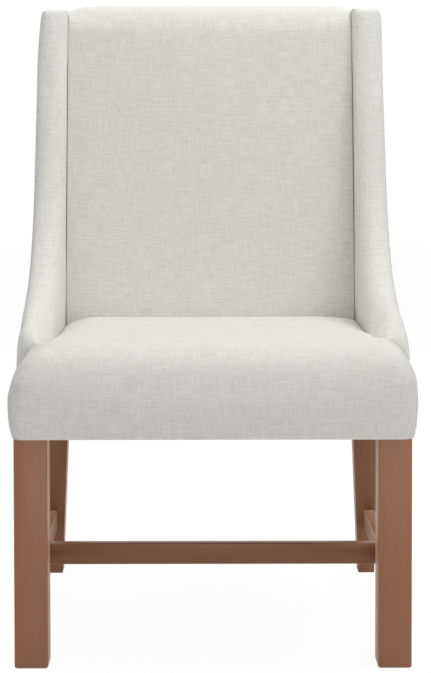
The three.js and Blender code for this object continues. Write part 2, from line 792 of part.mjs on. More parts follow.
function wingOutline(inset, foot) {
  const edge = sweep.getSpacedPoints(sweepSteps).map((point, k) => {
    const along = sweep.getTangentAt(k / sweepSteps);
    return [point.x + inset * along.y, point.y - inset * along.x];
  });
  const toe = wingToe + inset;
  const shoulder = toe + toeRound;
  const top = backHeight - inset;
  const between = (a, b, share) => [a[0] + (b[0] - a[0]) * share, a[1] + (b[1] - a[1]) * share];
  const kept = edge.filter(([y, z]) => y > shoulder && z < top);
  const firstKept = edge.indexOf(kept[0]);
  const lastKept = edge.indexOf(kept[kept.length - 1]);
  const before = edge[Math.max(0, firstKept - 1)];
  const after = edge[Math.min(edge.length - 1, lastKept + 1)];
  const start = between(before, kept[0], (shoulder - before[0]) / (kept[0][0] - before[0]));
  const lastPoint = kept[kept.length - 1];
  const end = between(lastPoint, after, (top - lastPoint[1]) / (after[1] - lastPoint[1]));
  const rear = rearFace(backHeight) + overrun;
  const toeArc = Array.from({ length: edgeSteps }, (_, step) => {
    const angle = ((Math.PI / 2) * (step + 1)) / edgeSteps;
    return [shoulder - toeRound * Math.sin(angle), start[1] - toeRound * (1 - Math.cos(angle))];
  });
  return [[toe, foot], [rear, foot], [rear, top], end, ...kept.reverse(), start, ...toeArc];
}

const wingForm = (inset) =>
  acrossX(ordered(wingOutline(0, coverFoot - overrun)), [wingInner, wingOuter], wingEdge, inset);
// The wing's inner side stops at the webbing, and its outer band runs down to the cover's edge
const belowDeck = join(
  block([0, frameHalf + fit], [0, postRear + backHeight], [0, deckTop]),
  block([0, legSpan], [0, postRear + backHeight], [-overrun, coverFoot]),
);
const boardOutline = wingOutline(boardInset, railTop + fit);
const boardBlank = acrossX(ordered(boardOutline), [boardInner, frameHalf]);
const board = cut(boardBlank, spaceToTheTop(backHeight), behind);
pair("wing_board", board, plywood);

// Space of the board and of the outside pad, looser by the fit, for cutting the wing's padding and cover
const boardSpace = acrossX(
  ordered(wingOutline(boardInset - fit, deckTop - overrun)),
  [boardInner - fit, wingOuter + overrun],
);
const padSpace = acrossX(
  ordered(wingOutline(wrapWidth - fit, coverFoot - overrun)),
  [frameHalf, wingOuter + overrun],
);
const boardSlot = overlap(boardSpace, block([0, frameHalf + fit], [0, legSpan * 2], [0, backHeight]));
const wingFoam = cut(wingForm(skin + fit), boardSlot, padSpace, backSpace, behind, belowDeck);
pair("wing_foam", wingFoam, foam);
const wingCover = cut(wingForm(0), wingForm(skin), padSpace, backSpace, behind, belowDeck);
pair("wing_cover", wingCover, linen);

// Outside pad: the padded panel on the wing's outer face, down to the cover's edge
const padOutline = wingOutline(wrapWidth, coverFoot);
const outsidePad = cut(acrossX(ordered(padOutline), [frameHalf + fit, wingOuter], padEdge, 0), behind);
pair("outside_pad", outsidePad, linen);

// Inside back form: rings in plan, from below the seat's top up over the top edge
function backRing({ z, front, rear, half, soft, crown, rise }) {
  const flat = half - soft;
  const right = [];
  right.push([0, rear]);
  right.push([half, rear]);
  rollRange.forEach((angle) => {
    right.push([flat + soft * Math.cos(angle), front + soft - soft * Math.sin(angle)]);
  });
  for (let step = 1; step < crownSteps / 2; step++) {
    const share = 1 - (2 * step) / crownSteps;
    right.push([flat * share, front - crown * (1 - share * share)]);
  }
  const middle = [0, front - crown];
  const left = right.slice(1).reverse();
  const ring = [...right, middle, ...left.map(([x, y]) => [-x, y])];
  return ring.map(([x, y]) => [x, y, z + rise * (1 - (x / half) ** 2)]).reverse();
}

function backForm(inset) {
  const half = backHalf - inset;
  const soft = backSideRoll - inset;
  const foot = backFootHeight;
  const rollStart = backHeight - backTopRoll;
  const rings = [];
  const plain = (z, crown) => {
    const front = insideBackFace(z) + inset;
    rings.push(backRing({ z, front, rear: rearFace(z) - inset, half, soft, crown, rise: 0 }));
  };
  plain(foot, 0);
  for (let step = 0; step < rollSteps + 1; step++) {
    const share = step / (rollSteps + 1);
    plain(seatHeight + (rollStart - seatHeight) * share, backCrown * Math.sin(Math.PI * share));
  }
  rollRange.forEach((angle) => {
    const z = rollStart + (backTopRoll - inset) * Math.sin(angle);
    const front = insideBackFace(rollStart) + backTopRoll - (backTopRoll - inset) * Math.cos(angle);
    const rear = rearFace(z) - inset - backRearRoll * (1 - Math.cos(angle));
    const rise = backTopCrown * Math.sin(angle);
    rings.push(backRing({ z, front, rear, half, soft, crown: 0, rise }));
  });
  const middle = (z) => (insideBackFace(z) + rearFace(z)) / 2;
  return loft(rings, [0, middle(foot), foot], [0, middle(backHeight), backHeight - inset + backTopCrown]);
}

// Inside back padding and its cover, which wraps over the top rail
const belowBack = block([-legSpan, legSpan], [0, postRear + backHeight], [0, backFootHeight + fit]);
add("back_foam", cut(backForm(skin + fit), backSpace, behind, belowBack), foam);
const insideBackCover = cut(backForm(0), backForm(skin), backSpace, behind, belowBack);
add("inside_back_cover", insideBackCover, linen);

// Outside back: one padded panel over the posts and rails, from edge to edge
const outsideBackTop = backHeight - outsideBackDrop;
const outsideBackOutline = [
  [postRear + fit, coverFoot],
  [postRear + fit + outsideBackThickness, coverFoot],
  [postRear + fit + outsideBackThickness, railTop],
  [rearFace(outsideBackTop) + fit + outsideBackThickness, outsideBackTop],
  [rearFace(outsideBackTop) + fit, outsideBackTop],
  [postRear + fit, railTop],
];
const outsideBack = acrossX(outsideBackOutline, [-wingOuter, wingOuter], outsideBackEdge, 0);
add("outside_back", outsideBack, linen);

// Dust cloth under the seat frame, clear of the legs
const dustTop = coverFoot - fit;
const dustHalf = frameHalf - dustClothInset;
const dustClothSheet = block(
  [-dustHalf, dustHalf],
  [frontRailFace + dustClothInset, postRear - dustClothInset],
  [dustTop - dustClothThickness, dustTop],
);
const legHoles = sides.flatMap((side) => [
  block(sideSpan(side, legInner - fit, legHalf + overrun), [-overrun, legWidth + fit], [0, railTop]),
  block(
    sideSpan(side, postInner - fit, legHalf + overrun),
    [postFace - fit, postRear + overrun],
    [0, railTop],
  ),
]);
add("dust_cloth", cut(dustClothSheet, ...legHoles), blackCloth);

// Centre the footprint on the origin
const bounds = new THREE.Box3().setFromObject(built);
const centre = bounds.getCenter(new THREE.Vector3());
built.position.set(-centre.x, -centre.y, -bounds.min.z);

export default chair;
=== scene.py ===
# %% [markdown]
# # An upholstered dining chair with sloping wings
#
# The chair stands on two square front legs and two raked rear legs, tied together by an H of stretchers.
# Above the legs everything is linen over padding: a seat with a rolled front, a leaning inside back, and
# a wing at each side that sweeps down from the top of the back and dies into the seat.
#
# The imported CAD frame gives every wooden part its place. This script adds what a solid model leaves out:
# soft forms that swell, cloth with threads in it, wood with grain, stitches, staples, light and a camera.

# %% The fixed frame
from contextlib import contextmanager
import json
import math

import bmesh
import bpy
import numpy as np
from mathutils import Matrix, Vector


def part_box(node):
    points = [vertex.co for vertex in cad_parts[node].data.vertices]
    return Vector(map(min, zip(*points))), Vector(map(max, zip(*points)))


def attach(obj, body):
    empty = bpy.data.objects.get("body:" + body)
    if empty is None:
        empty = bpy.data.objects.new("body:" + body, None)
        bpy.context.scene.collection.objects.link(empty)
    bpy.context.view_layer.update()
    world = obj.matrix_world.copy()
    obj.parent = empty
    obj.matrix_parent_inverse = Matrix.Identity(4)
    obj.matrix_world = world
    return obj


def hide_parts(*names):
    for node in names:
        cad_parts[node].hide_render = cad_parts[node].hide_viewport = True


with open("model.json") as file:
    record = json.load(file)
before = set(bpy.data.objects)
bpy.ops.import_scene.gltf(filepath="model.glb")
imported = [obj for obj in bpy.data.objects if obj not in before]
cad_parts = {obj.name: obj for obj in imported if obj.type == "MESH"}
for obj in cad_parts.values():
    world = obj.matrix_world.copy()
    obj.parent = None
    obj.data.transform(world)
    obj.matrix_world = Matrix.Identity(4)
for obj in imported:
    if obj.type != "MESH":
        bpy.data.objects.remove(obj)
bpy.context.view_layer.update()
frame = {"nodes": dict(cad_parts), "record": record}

nodes = frame["nodes"]

# %% [markdown]
# ## Sizes
#
# All lengths are in metres. Depths are measured from the front faces of the front legs, because that is
# the plane a chair maker works from, and `at_depth` turns one into the frame's own y. What the CAD nodes
# can tell is read from them. The rest are the upholsterer's sizes: radii, crowns and swells.

# %% Sizes read from the frame
MM = 0.001
leg_low, leg_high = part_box("front_leg_right")
wing_low, wing_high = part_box("wing_cover_right")
rail_low, rail_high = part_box("front_rail")

leg_face = leg_low.y
cover_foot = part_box("seat_cover")[0].z
back_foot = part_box("inside_back_cover")[0].z
post_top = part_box("rear_post_right")[1].z
frame_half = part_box("wing_board_right")[1].x
wing_outer = wing_high.x
wing_inner = wing_low.x
wing_top = wing_high.z
rail_foot = rail_low.z
rail_top = rail_high.z
print("cover foot", round(cover_foot, 4), "wing", round(wing_inner, 4), "to", round(wing_outer, 4))


def at_depth(depth):
    """The frame's y for a depth behind the front faces of the front legs."""
    return leg_face + depth


# %% Sizes the upholsterer adds
gap = 0.6 * MM  # left between two covered pieces that press on each other
seat_top = 0.471  # top of the seat at its edges
ear_depth = 0.118  # the seat runs full width to here, then steps in between the wings
seat_depth = 0.481  # from the leg faces to the inside back
back_lean = 0.086  # how far the inside back leans from the seat to the top of the wings
post_face = 0.530  # front of the rear post, at the rails
post_depth = 0.050  # the post from front to back, at the rails
post_lean = 0.056  # how far its front leans back from the rails to its top
post_top_depth = 38.0 * MM  # the post from front to back, at its top
leg_rear = 0.0503  # rear of the front legs, with its clearance
deck_top = rail_top + 4.2 * MM  # above the seat's webbing
wood_room = 0.35 * MM  # how far the room for a wooden part stands off it
panel_stand = 0.4 * MM  # how far an outside panel stands off the wood
panel_grid = 24.0 * MM  # squares of an outside panel
cloth_shift = {"back": 4.0, "wing": 6.0, "panel": 9.0}  # keeps covers from showing the same threads

# %% [markdown]
# ## Camera
#
# The camera comes first, because it doesn't depend on anything that follows. It stands 2.7 m in front of
# the legs at 0.8 m, a little to the left of the middle, and looks down by two degrees. The lens is
# shifted rather than turned further, as a studio camera is, so that the legs stay upright.

# %% Camera
image_width = 431
image_height = 673
camera_distance = 2.7196
camera_height = 0.8152
camera_left = 0.0208
camera_pitch = math.radians(2.2)
camera_roll = math.radians(0.1)
focal_pixels = 1845.0
optical_centre = (198.24, 192.04)
sensor = 36.0

camera_data = bpy.data.cameras.new("camera")
camera_data.sensor_width = sensor
camera_data.lens = focal_pixels / image_height * sensor
camera_data.shift_x = (image_width / 2 - optical_centre[0]) / image_height
camera_data.shift_y = (optical_centre[1] - image_height / 2) / image_height
camera = bpy.data.objects.new("camera", camera_data)
camera.location = (-camera_left, at_depth(-camera_distance), camera_height)
camera.rotation_euler = (math.pi / 2 - camera_pitch, camera_roll, 0.0)
bpy.context.scene.collection.objects.link(camera)
bpy.context.scene.camera = camera
print("lens", round(camera_data.lens, 1), "shift", round(camera_data.shift_x, 3), round(camera_data.shift_y, 3))

# %% [markdown]
# ## Writing shaders as sums
#
# A finish is a small piece of arithmetic: threads run one way, other threads cross them, and a slow blotch
# lies over both. Wiring that by hand hides the sum, so `Term` wraps a socket and lets Python's own
# operators add the Math nodes. Every other node comes from the one method of `Recipe`, which serves
# materials and geometry alike.

# %% A socket that does arithmetic
class Term:
    def __init__(self, tree, socket):
        self.tree = tree
        self.socket = socket

    def math(self, operation, *operands):
        node = self.tree.nodes.new("ShaderNodeMath")
        node.operation = operation
        for slot, operand in zip(node.inputs, operands):
            feed(self.tree, slot, operand)
        return Term(self.tree, node.outputs[0])

    def __add__(self, other):
        return self.math("ADD", self, other)

    def __sub__(self, other):
        return self.math("SUBTRACT", self, other)

    def __rsub__(self, other):
        return self.math("SUBTRACT", other, self)

    def __mul__(self, other):
        return self.math("MULTIPLY", self, other)

    def __truediv__(self, other):
        return self.math("DIVIDE", self, other)

    __radd__ = __add__
    __rmul__ = __mul__

    def clamp(self, low, high):
        return self.math("MAXIMUM", self.math("MINIMUM", self, high), low)

    def wave(self):
        return self.math("SINE", self)


def feed(tree, slot, value):
    """Links a Term to a socket, or writes a plain value into it."""
    if isinstance(value, Term):
        tree.links.new(value.socket, slot)
    elif value is not None:
        slot.default_value = value


# %% One way to add any other node
class Recipe:
    """A node tree that is being written, for a material or for geometry."""

    def __init__(self, tree):
        self.tree = tree

    def node(self, kind, inputs=None, settings=None, out=0):
        """Adds a node, sets what it is, feeds its sockets and returns one output as a Term."""
        made = self.tree.nodes.new(kind)
        for key, value in (settings or {}).items():
            setattr(made, key, value)
        for key, value in (inputs or {}).items():
            feed(self.tree, made.inputs[key], value)
        return Term(self.tree, made.outputs[out])


# %% A material and its nodes
class Finish(Recipe):
    def __init__(self, name, **shader):
        self.material = bpy.data.materials.new(name)
        self.material.use_nodes = True
        super().__init__(self.material.node_tree)
        self.tree.nodes.clear()
        self.output = self.tree.nodes.new("ShaderNodeOutputMaterial")
        self.shader = self.tree.nodes.new("ShaderNodeBsdfPrincipled")
        self.tree.links.new(self.shader.outputs[0], self.output.inputs["Surface"])
        for socket, value in shader.items():
            self.shader.inputs[socket.replace("_", " ")].default_value = value

    def set(self, **sockets):
        for key, value in sockets.items():
            feed(self.tree, self.shader.inputs[key.replace("_", " ")], value)

    def place(self, scale, source="Object", turn=(0.0, 0.0, 0.0), shift=(0.0, 0.0, 0.0)):
        """Coordinates for a pattern, stretched by scale."""
        start = self.node("ShaderNodeTexCoord", out=source)
        return self.node(
            "ShaderNodeMapping", {"Vector": start, "Scale": scale, "Rotation": turn, "Location": shift}
        )

    def noise(self, vector, scale=1.0, detail=2.0, roughness=0.5, warp=0.0):
        return self.node(
            "ShaderNodeTexNoise",
            {"Vector": vector, "Scale": scale, "Detail": detail, "Roughness": roughness, "Distortion": warp},
        )

    def blend(self, share, low, high):
        """A colour between two others."""
        return self.node("ShaderNodeMix", {0: share, 6: low, 7: high}, {"data_type": "RGBA"}, out=2)

    def bump(self, height, distance, strength=1.0):
        self.set(Normal=self.node("ShaderNodeBump", {"Height": height, "Distance": distance, "Strength": strength}))


def linear(red, green, blue):
    """A colour given as it looks on a screen, from 0 to 255, as the linear values that a shader takes."""
    def one(value):
        value /= 255
        return value / 12.92 if value <= 0.04045 else ((value + 0.055) / 1.055) ** 2.4

    return (one(red), one(green), one(blue), 1.0)


# %% [markdown]
# ## Linen
#
# The cover is a plain weave of slubby yarn: every thread is a little thicker here and thinner there, so
# short pale and dark streaks run both ways, one or two millimetres apart and a finger's width long. The
# pattern follows the cloth, so it reads the pieces' own UV maps, which are laid out in metres, with the
# weft across and the warp along. A fuzz of loose fibre shows as a little sheen.

# %% Linen
def linen_finish(name, lightness=1.0):
    finish = Finish(name, Roughness=0.92, Sheen_Weight=0.12, Sheen_Roughness=0.5)
    finish.shader.inputs["Specular IOR Level"].default_value = 0.25
    weft = finish.noise(finish.place((60.0, 640.0, 1.0), "UV"), detail=2.0, roughness=0.6)
    warp = finish.noise(finish.place((640.0, 60.0, 1.0), "UV", shift=(3.1, 7.7, 0.0)), detail=2.0, roughness=0.6)
    weft_slub = finish.noise(finish.place((28.0, 350.0, 1.0), "UV", shift=(1.7, 0.3, 0.0)), detail=1.0)
    warp_slub = finish.noise(finish.place((350.0, 28.0, 1.0), "UV", shift=(5.2, 2.9, 0.0)), detail=1.0)
    blotch = finish.noise(finish.place((9.0, 9.0, 1.0), "UV"), detail=2.0)
    streaks = (weft - 0.5) * 1.0 + (warp - 0.5) * 0.8 + (weft_slub - 0.5) * 1.1 + (warp_slub - 0.5) * 0.8
    tone = (0.5 + streaks * 0.95 + (blotch - 0.5) * 0.12).clamp(0.0, 1.0)
    dark = linear(*(lightness * value for value in (219, 218, 213)))
    pale = linear(*(lightness * value for value in (243, 242, 238)))
    finish.set(Base_Color=finish.blend(tone, dark, pale))
    pitch = 0.9 * MM
    cloth = finish.place((1.0, 1.0, 1.0), "UV")
    across = finish.node("ShaderNodeSeparateXYZ", {"Vector": cloth}, out=0)
    along = finish.node("ShaderNodeSeparateXYZ", {"Vector": cloth}, out=1)
    weave = (across * (2 * math.pi / pitch)).wave() * (along * (2 * math.pi / pitch)).wave()
    finish.bump(weave * 0.35 + weft * 0.9 + warp * 0.7, 0.35 * MM, 0.55)
    return finish.material


linen = linen_finish("linen")
print("linen uses", len(linen.node_tree.nodes), "nodes")

# %% [markdown]
# ## Wood
#
# The legs and stretchers are stained and sanded to a satin lacquer, so grain is only just visible as fine
# lines along each piece. Grain is noise stretched far along one axis. At a grazing angle lacquer looks
# paler, and a warm sheen over the stain gives the inner faces of the legs some of that.

# %% Stained wood
def stained_wood(name, grain):
    """Satin wood whose grain runs along axis grain: 0, 1 or 2."""
    finish = Finish(name, Sheen_Weight=1.0, Sheen_Roughness=0.22, Sheen_Tint=linear(255, 196, 160))
    finish.shader.inputs["Specular IOR Level"].default_value = 0.30
    fine = [900.0, 900.0, 900.0]
    fine[grain] = 14.0
    broad = [70.0, 70.0, 70.0]
    broad[grain] = 2.2
    lines = finish.noise(finish.place(fine), detail=3.0, roughness=0.6)
    bands = finish.noise(finish.place(broad), detail=3.0, roughness=0.55, warp=0.4)
    pores = finish.noise(finish.place([2.2 * value for value in fine]), detail=1.0)
    tone = (0.5 + (bands - 0.5) * 0.8 + (lines - 0.5) * 0.5).clamp(0.0, 1.0)
    finish.set(Base_Color=finish.blend(tone, linear(145, 99, 71), linear(166, 115, 84)))
    finish.set(Roughness=0.34 + (lines - 0.5) * 0.10)
    finish.bump(lines * 0.5 + pores * 0.5, 0.12 * MM, 0.35)
    return finish.material


leg_wood = {axis: stained_wood("leg_wood_" + "xyz"[axis], axis) for axis in (0, 1, 2)}


# %% Frame wood, plywood and other hidden finishes
def beech_finish(name, grain):
    finish = Finish(name, Roughness=0.62)
    fine = [520.0, 520.0, 520.0]
    fine[grain] = 12.0
    flecks = finish.noise(finish.place(fine), detail=3.0, roughness=0.65)
    bands = finish.noise(finish.place([value / 9 for value in fine]), detail=2.0, warp=0.5)
    tone = (0.45 + (bands - 0.5) * 1.2 + (flecks - 0.5) * 0.7).clamp(0.0, 1.0)
    finish.set(Base_Color=finish.blend(tone, linear(178, 134, 88), linear(222, 184, 136)))
    finish.bump(flecks, 0.2 * MM, 0.4)
    return finish.material


def plywood_finish():
    """The layers of a board that stands on edge: thin bands across its thickness, which is along x."""
    finish = Finish("plywood_layers", Roughness=0.7)
    position = finish.place((1.0, 1.0, 1.0))
    split = finish.node("ShaderNodeSeparateXYZ", {"Vector": position}, out=0)
    bands = (split * (2 * math.pi / 0.0036)).wave() * 0.5 + 0.5
    flecks = finish.noise(finish.place((300.0, 300.0, 16.0)), detail=2.0)
    tone = (bands * 0.6 + flecks * 0.5).clamp(0.0, 1.0)
    finish.set(Base_Color=finish.blend(tone, linear(170, 128, 84), linear(220, 188, 144)))
    finish.bump(flecks, 0.2 * MM, 0.3)
    return finish.material


def webbing_finish(name, lengthwise):
    """Jute webbing: a coarse weave with two dark lines along its edges."""
    finish = Finish(name, Roughness=0.95)
    scale = [420.0, 420.0, 420.0]
    scale[lengthwise] = 120.0
    threads = finish.noise(finish.place(scale), detail=2.0, roughness=0.6)
    coarse = finish.noise(finish.place((240.0, 240.0, 240.0)), detail=1.0)
    tone = (0.5 + (threads - 0.5) * 1.5 + (coarse - 0.5) * 0.6).clamp(0.0, 1.0)
    finish.set(Base_Color=finish.blend(tone, linear(120, 94, 60), linear(190, 162, 116)))
    finish.bump(threads + coarse * 0.6, 0.5 * MM, 0.7)
    return finish.material


def dust_cloth_finish():
    """Black bonded cloth under the seat: matted fibres that catch a little light."""
    finish = Finish("dust_cloth_fibre", Roughness=0.95)
    fibres = finish.noise(finish.place((520.0, 520.0, 520.0)), detail=3.0, roughness=0.7)
    dimples = finish.node("ShaderNodeTexVoronoi", {"Vector": finish.place((600.0, 600.0, 600.0))})
    tone = (fibres * 0.8 + dimples * 0.3).clamp(0.0, 1.0)
    finish.set(Base_Color=finish.blend(tone, linear(22, 22, 23), linear(60, 60, 62)))
    finish.bump(dimples, 0.3 * MM, 0.5)
    return finish.material


def zinc_finish():
    finish = Finish("zinc_plate", Metallic=1.0, Roughness=0.36)
    spangle = finish.noise(finish.place((260.0, 260.0, 260.0)), detail=2.0)
    finish.set(Base_Color=finish.blend(spangle, linear(160, 162, 166), linear(205, 207, 210)))
    finish.set(Roughness=0.28 + spangle * 0.2)
    return finish.material


def foam_finish():
    finish = Finish("foam_cells", Roughness=0.95)
    cells = finish.node("ShaderNodeTexVoronoi", {"Vector": finish.place((700.0, 700.0, 700.0))})
    finish.set(Base_Color=finish.blend(cells, linear(226, 212, 166), linear(244, 236, 206)))
    finish.bump(cells, 0.4 * MM, 0.6)
    return finish.material


beech = {axis: beech_finish("frame_wood_" + "xyz"[axis], axis) for axis in (0, 1, 2)}
plywood = plywood_finish()
webbing = {axis: webbing_finish("webbing_" + "xyz"[axis], axis) for axis in (0, 1, 2)}
dust_cloth = dust_cloth_finish()
zinc = zinc_finish()
foam = foam_finish()

# %% [markdown]
# ## Dressing the CAD nodes
#
# Parts whose CAD shape is already right keep it and only get a finish. The grain has to run along the
# piece, so each one is given the material made for its longest side. The soft solids are dressed too, but
# they won't be seen: upholstery made further down stands for them.

# %% Finishes for the carried-over nodes
def longest_side(node):
    low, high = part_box(node)
    return max(range(3), key=lambda axis: high[axis] - low[axis])


def finish_for(node, slot):
    axis = longest_side(node)
    chosen = {
        "leg_wood": leg_wood[axis],
        "frame_wood": beech[axis],
        "plywood": plywood,
        "webbing": webbing[axis],
        "linen": linen,
        "foam": foam,
        "dust_cloth": dust_cloth,
        "zinc": zinc,
    }
    return chosen[slot]


slot_of = {part["node"]: part["material_slot"] for part in frame["record"]["subparts"]}
for node, slot in slot_of.items():
    mesh = nodes[node].data
    mesh.materials.clear()
    mesh.materials.append(finish_for(node, slot))
print("dressed", len(slot_of), "nodes")


# %% [markdown]
# ## Softening the edges of the wood
#
# A sanded leg has no razor edge. The CAD wood is sharp, or has flat facets, so each visible wooden part is
# replaced by a copy that is merged, cleared of the lines inside its flat faces, and bevelled by about a
# millimetre. The copy keeps the tenons, so it still fits where the CAD part did.

# %% Helpers for new pieces
def new_piece(name, mesh, material):
    piece = bpy.data.objects.new(name, mesh)
    bpy.context.scene.collection.objects.link(piece)
    mesh.materials.clear()
    mesh.materials.append(material)
    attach(piece, "root")
    return piece


@contextmanager
def reshaping(mesh):
    """Opens a mesh, and writes it back at the end of the block."""
    made = bmesh.new()
    made.from_mesh(mesh)
    yield made
    made.to_mesh(mesh)
    made.free()


def as_mesh(made, name):
    """What was built, as a new mesh."""
    mesh = bpy.data.meshes.new(name)
    made.to_mesh(mesh)
    made.free()
    return mesh


def merged(node):
    """A CAD part with its loose triangles joined, and no lines left inside its flat faces."""
    made = bmesh.new()
    made.from_mesh(nodes[node].data)
    bmesh.ops.remove_doubles(made, verts=made.verts, dist=0.01 * MM)
    bmesh.ops.dissolve_limit(made, angle_limit=math.radians(0.6), verts=made.verts, edges=made.edges)
    return made


def shade_smooth(piece, angle):
    """Smooth shading, with the edges sharper than the angle marked."""
    limit = math.radians(angle)
    with reshaping(piece.data) as made:
        for edge in made.edges:
            edge.smooth = len(edge.link_faces) == 2 and edge.calc_face_angle(0.0) < limit
        for face in made.faces:
            face.smooth = True


def apply_modifiers(piece):
    """Turns the evaluated piece into a plain mesh and drops the modifiers."""
    graph = bpy.context.evaluated_depsgraph_get()
    mesh = bpy.data.meshes.new_from_object(piece.evaluated_get(graph), depsgraph=graph)
    old = piece.data
    piece.modifiers.clear()
    piece.data = mesh
    mesh.name = piece.name
    bpy.data.meshes.remove(old)


# %% Bevelled wood
edge_break = 1.2 * MM


def bevelled_copy(node):
    mesh = as_mesh(merged(node), node + "_bevelled")
    piece = new_piece(node + "_sanded", mesh, nodes[node].data.materials[0])
    bevel = piece.modifiers.new("edge break", "BEVEL")
    bevel.width = edge_break
    bevel.segments = 2
    bevel.limit_method = "ANGLE"
    bevel.angle_limit = math.radians(35)
    apply_modifiers(piece)
    shade_smooth(piece, 40.0)
    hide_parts(node)
    return piece


visible_wood = [
    part + side
    for part in ("front_leg", "rear_post", "side_stretcher")
    for side in ("_left", "_right")
] + ["cross_stretcher"]
for node in visible_wood:
    sanded = bevelled_copy(node)
    print(sanded.name, len(sanded.data.polygons), "faces")

# %% [markdown]
# ## Padding that swells
#
# Foam under a tight cover pushes it out between the places where it is pulled down. Each padded piece
# starts as a clean grid, a little smaller than the finished form. Blender's Cloth then blows it up with a
# small pressure while its hidden side and its seams are held still. How far a point may move is capped, so
# that the chair keeps its size. The grid keeps its UV map, so the weave stays straight.

# %% Cloth pressure on a copy
def inflate(piece, pressure, cap, held=None, frames=20):
    """Moves the piece's points to where Cloth would push them, but never further than cap."""
    scene = bpy.context.scene
    trial = piece.copy()
    trial.data = piece.data.copy()
    scene.collection.objects.link(trial)
    cloth = trial.modifiers.new("cloth", "CLOTH")
    settings = cloth.settings
    settings.quality = 5
    settings.use_pressure = True
    settings.uniform_pressure_force = pressure
    settings.effector_weights.gravity = 0.0
    if held is not None:
        group = trial.vertex_groups.new(name="held")
        group.add([int(index) for index in np.nonzero(held)[0]], 1.0, "REPLACE")
        settings.vertex_group_mass = "held"
    cloth.point_cache.frame_start = 1
    cloth.point_cache.frame_end = frames
    for number in range(1, frames + 1):
        scene.frame_set(number)
    graph = bpy.context.evaluated_depsgraph_get()
    swollen = points_of(trial.evaluated_get(graph).data)
    start = points_of(piece.data)
    move = swollen - start
    length = np.linalg.norm(move, axis=1)
    share = cap * np.tanh(length / cap) / np.maximum(length, 1e-9)
    piece.data.vertices.foreach_set("co", (start + move * share[:, None]).ravel())
    piece.data.update()
    scene.frame_set(1)
    bpy.data.objects.remove(trial)
    print(piece.name, "swelled by up to", round(float((length * share).max()) * 1000, 1), "mm")


def points_of(mesh):
    flat = np.zeros(len(mesh.vertices) * 3)
    mesh.vertices.foreach_get("co", flat)
    return flat.reshape(-1, 3)


# %% [markdown]
# ## Pads made of small cells
#
# Each pad starts as a stack of box-shaped cells. Leaving cells out makes the step where the seat slides
# between the wings, and the room where the rails go, with no cutting. Only the faces between a filled cell
# and an empty one are made. A rule then moves the points from their straight lines onto the padded form.

# %% The skin of a stack of cells
def cell_skin(name, x_lines, y_lines, z_lines, filled):
    """Returns a mesh of the skin, each point's place on the lines, and the axis that each face looks along."""
    lines = (x_lines, y_lines, z_lines)
    middles = [(np.array(line[1:]) + np.array(line[:-1])) / 2 for line in lines]
    solid = filled(*np.meshgrid(*middles, indexing="ij"))
    padded = np.pad(solid, 1)
    index_of = {}
    faces = []
    looks = []
    for axis in range(3):
        first, second = (axis + 1) % 3, (axis + 2) % 3
        for sense in (-1, 1):
            open_side = solid & ~np.roll(padded, -sense, axis)[1:-1, 1:-1, 1:-1]
            for cell in np.argwhere(open_side):
                base = list(cell)
                base[axis] += sense > 0
                ring = []
                for step_a, step_b in ((0, 0), (1, 0), (1, 1), (0, 1)):
                    key = list(base)
                    key[first] += step_a
                    key[second] += step_b
                    ring.append(index_of.setdefault(tuple(key), len(index_of)))
                faces.append(ring if sense > 0 else ring[::-1])
                looks.append(axis)
    places = np.array([[lines[k][key[k]] for k in range(3)] for key in index_of])
    mesh = bpy.data.meshes.new(name)
    mesh.from_pydata(places.tolist(), [], faces)
    return mesh, places, np.array(looks)


def move_points(mesh, places):
    mesh.vertices.foreach_set("co", np.asarray(places, float).ravel())
    mesh.update()


def lay_cloth(mesh, looks, rules):
    """Writes the UV map in metres: rules gives, for each axis that a face looks along, u and v per point."""
    corner_point = np.zeros(len(mesh.loops), int)
    mesh.loops.foreach_get("vertex_index", corner_point)
    corner_axis = np.repeat(looks, 4)
    uv = np.zeros((len(corner_point), 2))
    for axis, (u, v) in enumerate(rules):
        here = corner_axis == axis
        uv[here, 0] = u[corner_point[here]]
        uv[here, 1] = v[corner_point[here]]
    layer = mesh.uv_layers.new(name="UVMap")
    layer.data.foreach_set("uv", uv.ravel())


def steps(start, end, size):
    """Evenly spaced lines from start to end, about size apart."""
    count = max(1, round(abs(end - start) / size))
    return list(np.linspace(start, end, count + 1))


def chain(*marks, size):
    """Lines through every mark, about size apart between them."""
    line = [marks[0]]
    for start, end in zip(marks, marks[1:]):
        line += steps(start, end, size)[1:]
    return line


def rise(value, low, high):
    """0 below low, 1 above high, and a smooth step between."""
    share = np.clip((value - low) / (high - low), 0.0, 1.0)
    return share * share * (3 - 2 * share)


# %% Rounding an edge between two sides
def round_over(first, second, radius, squareness=2.0):
    """Distances of points from two sides that meet, once the edge between them is rounded."""
    one = np.clip(1 - first / radius, 0.0, 1.0)
    two = np.clip(1 - second / radius, 0.0, 1.0)
    length = (one ** squareness + two ** squareness) ** (1 / squareness)
    share = np.maximum(one, two) / np.maximum(length, 1e-9)
    return (
        np.where(one > 0, radius * (1 - one * share), first),
        np.where(two > 0, radius * (1 - two * share), second),
    )


def round_corner(side, front, top, radius, squareness):
    """Rounds a block's corner like a ball from above, and squarer seen in plan."""
    inside = [np.clip(radius - value, 0, None) for value in (side, front, top)]
    furthest = np.maximum.reduce(inside)
    plan = (inside[0] ** squareness + inside[1] ** squareness) ** (1 / squareness)
    shrink = furthest / np.maximum(np.hypot(plan, inside[2]), 1e-9)
    return [value + gone * (1 - shrink) for value, gone in zip((side, front, top), inside)]


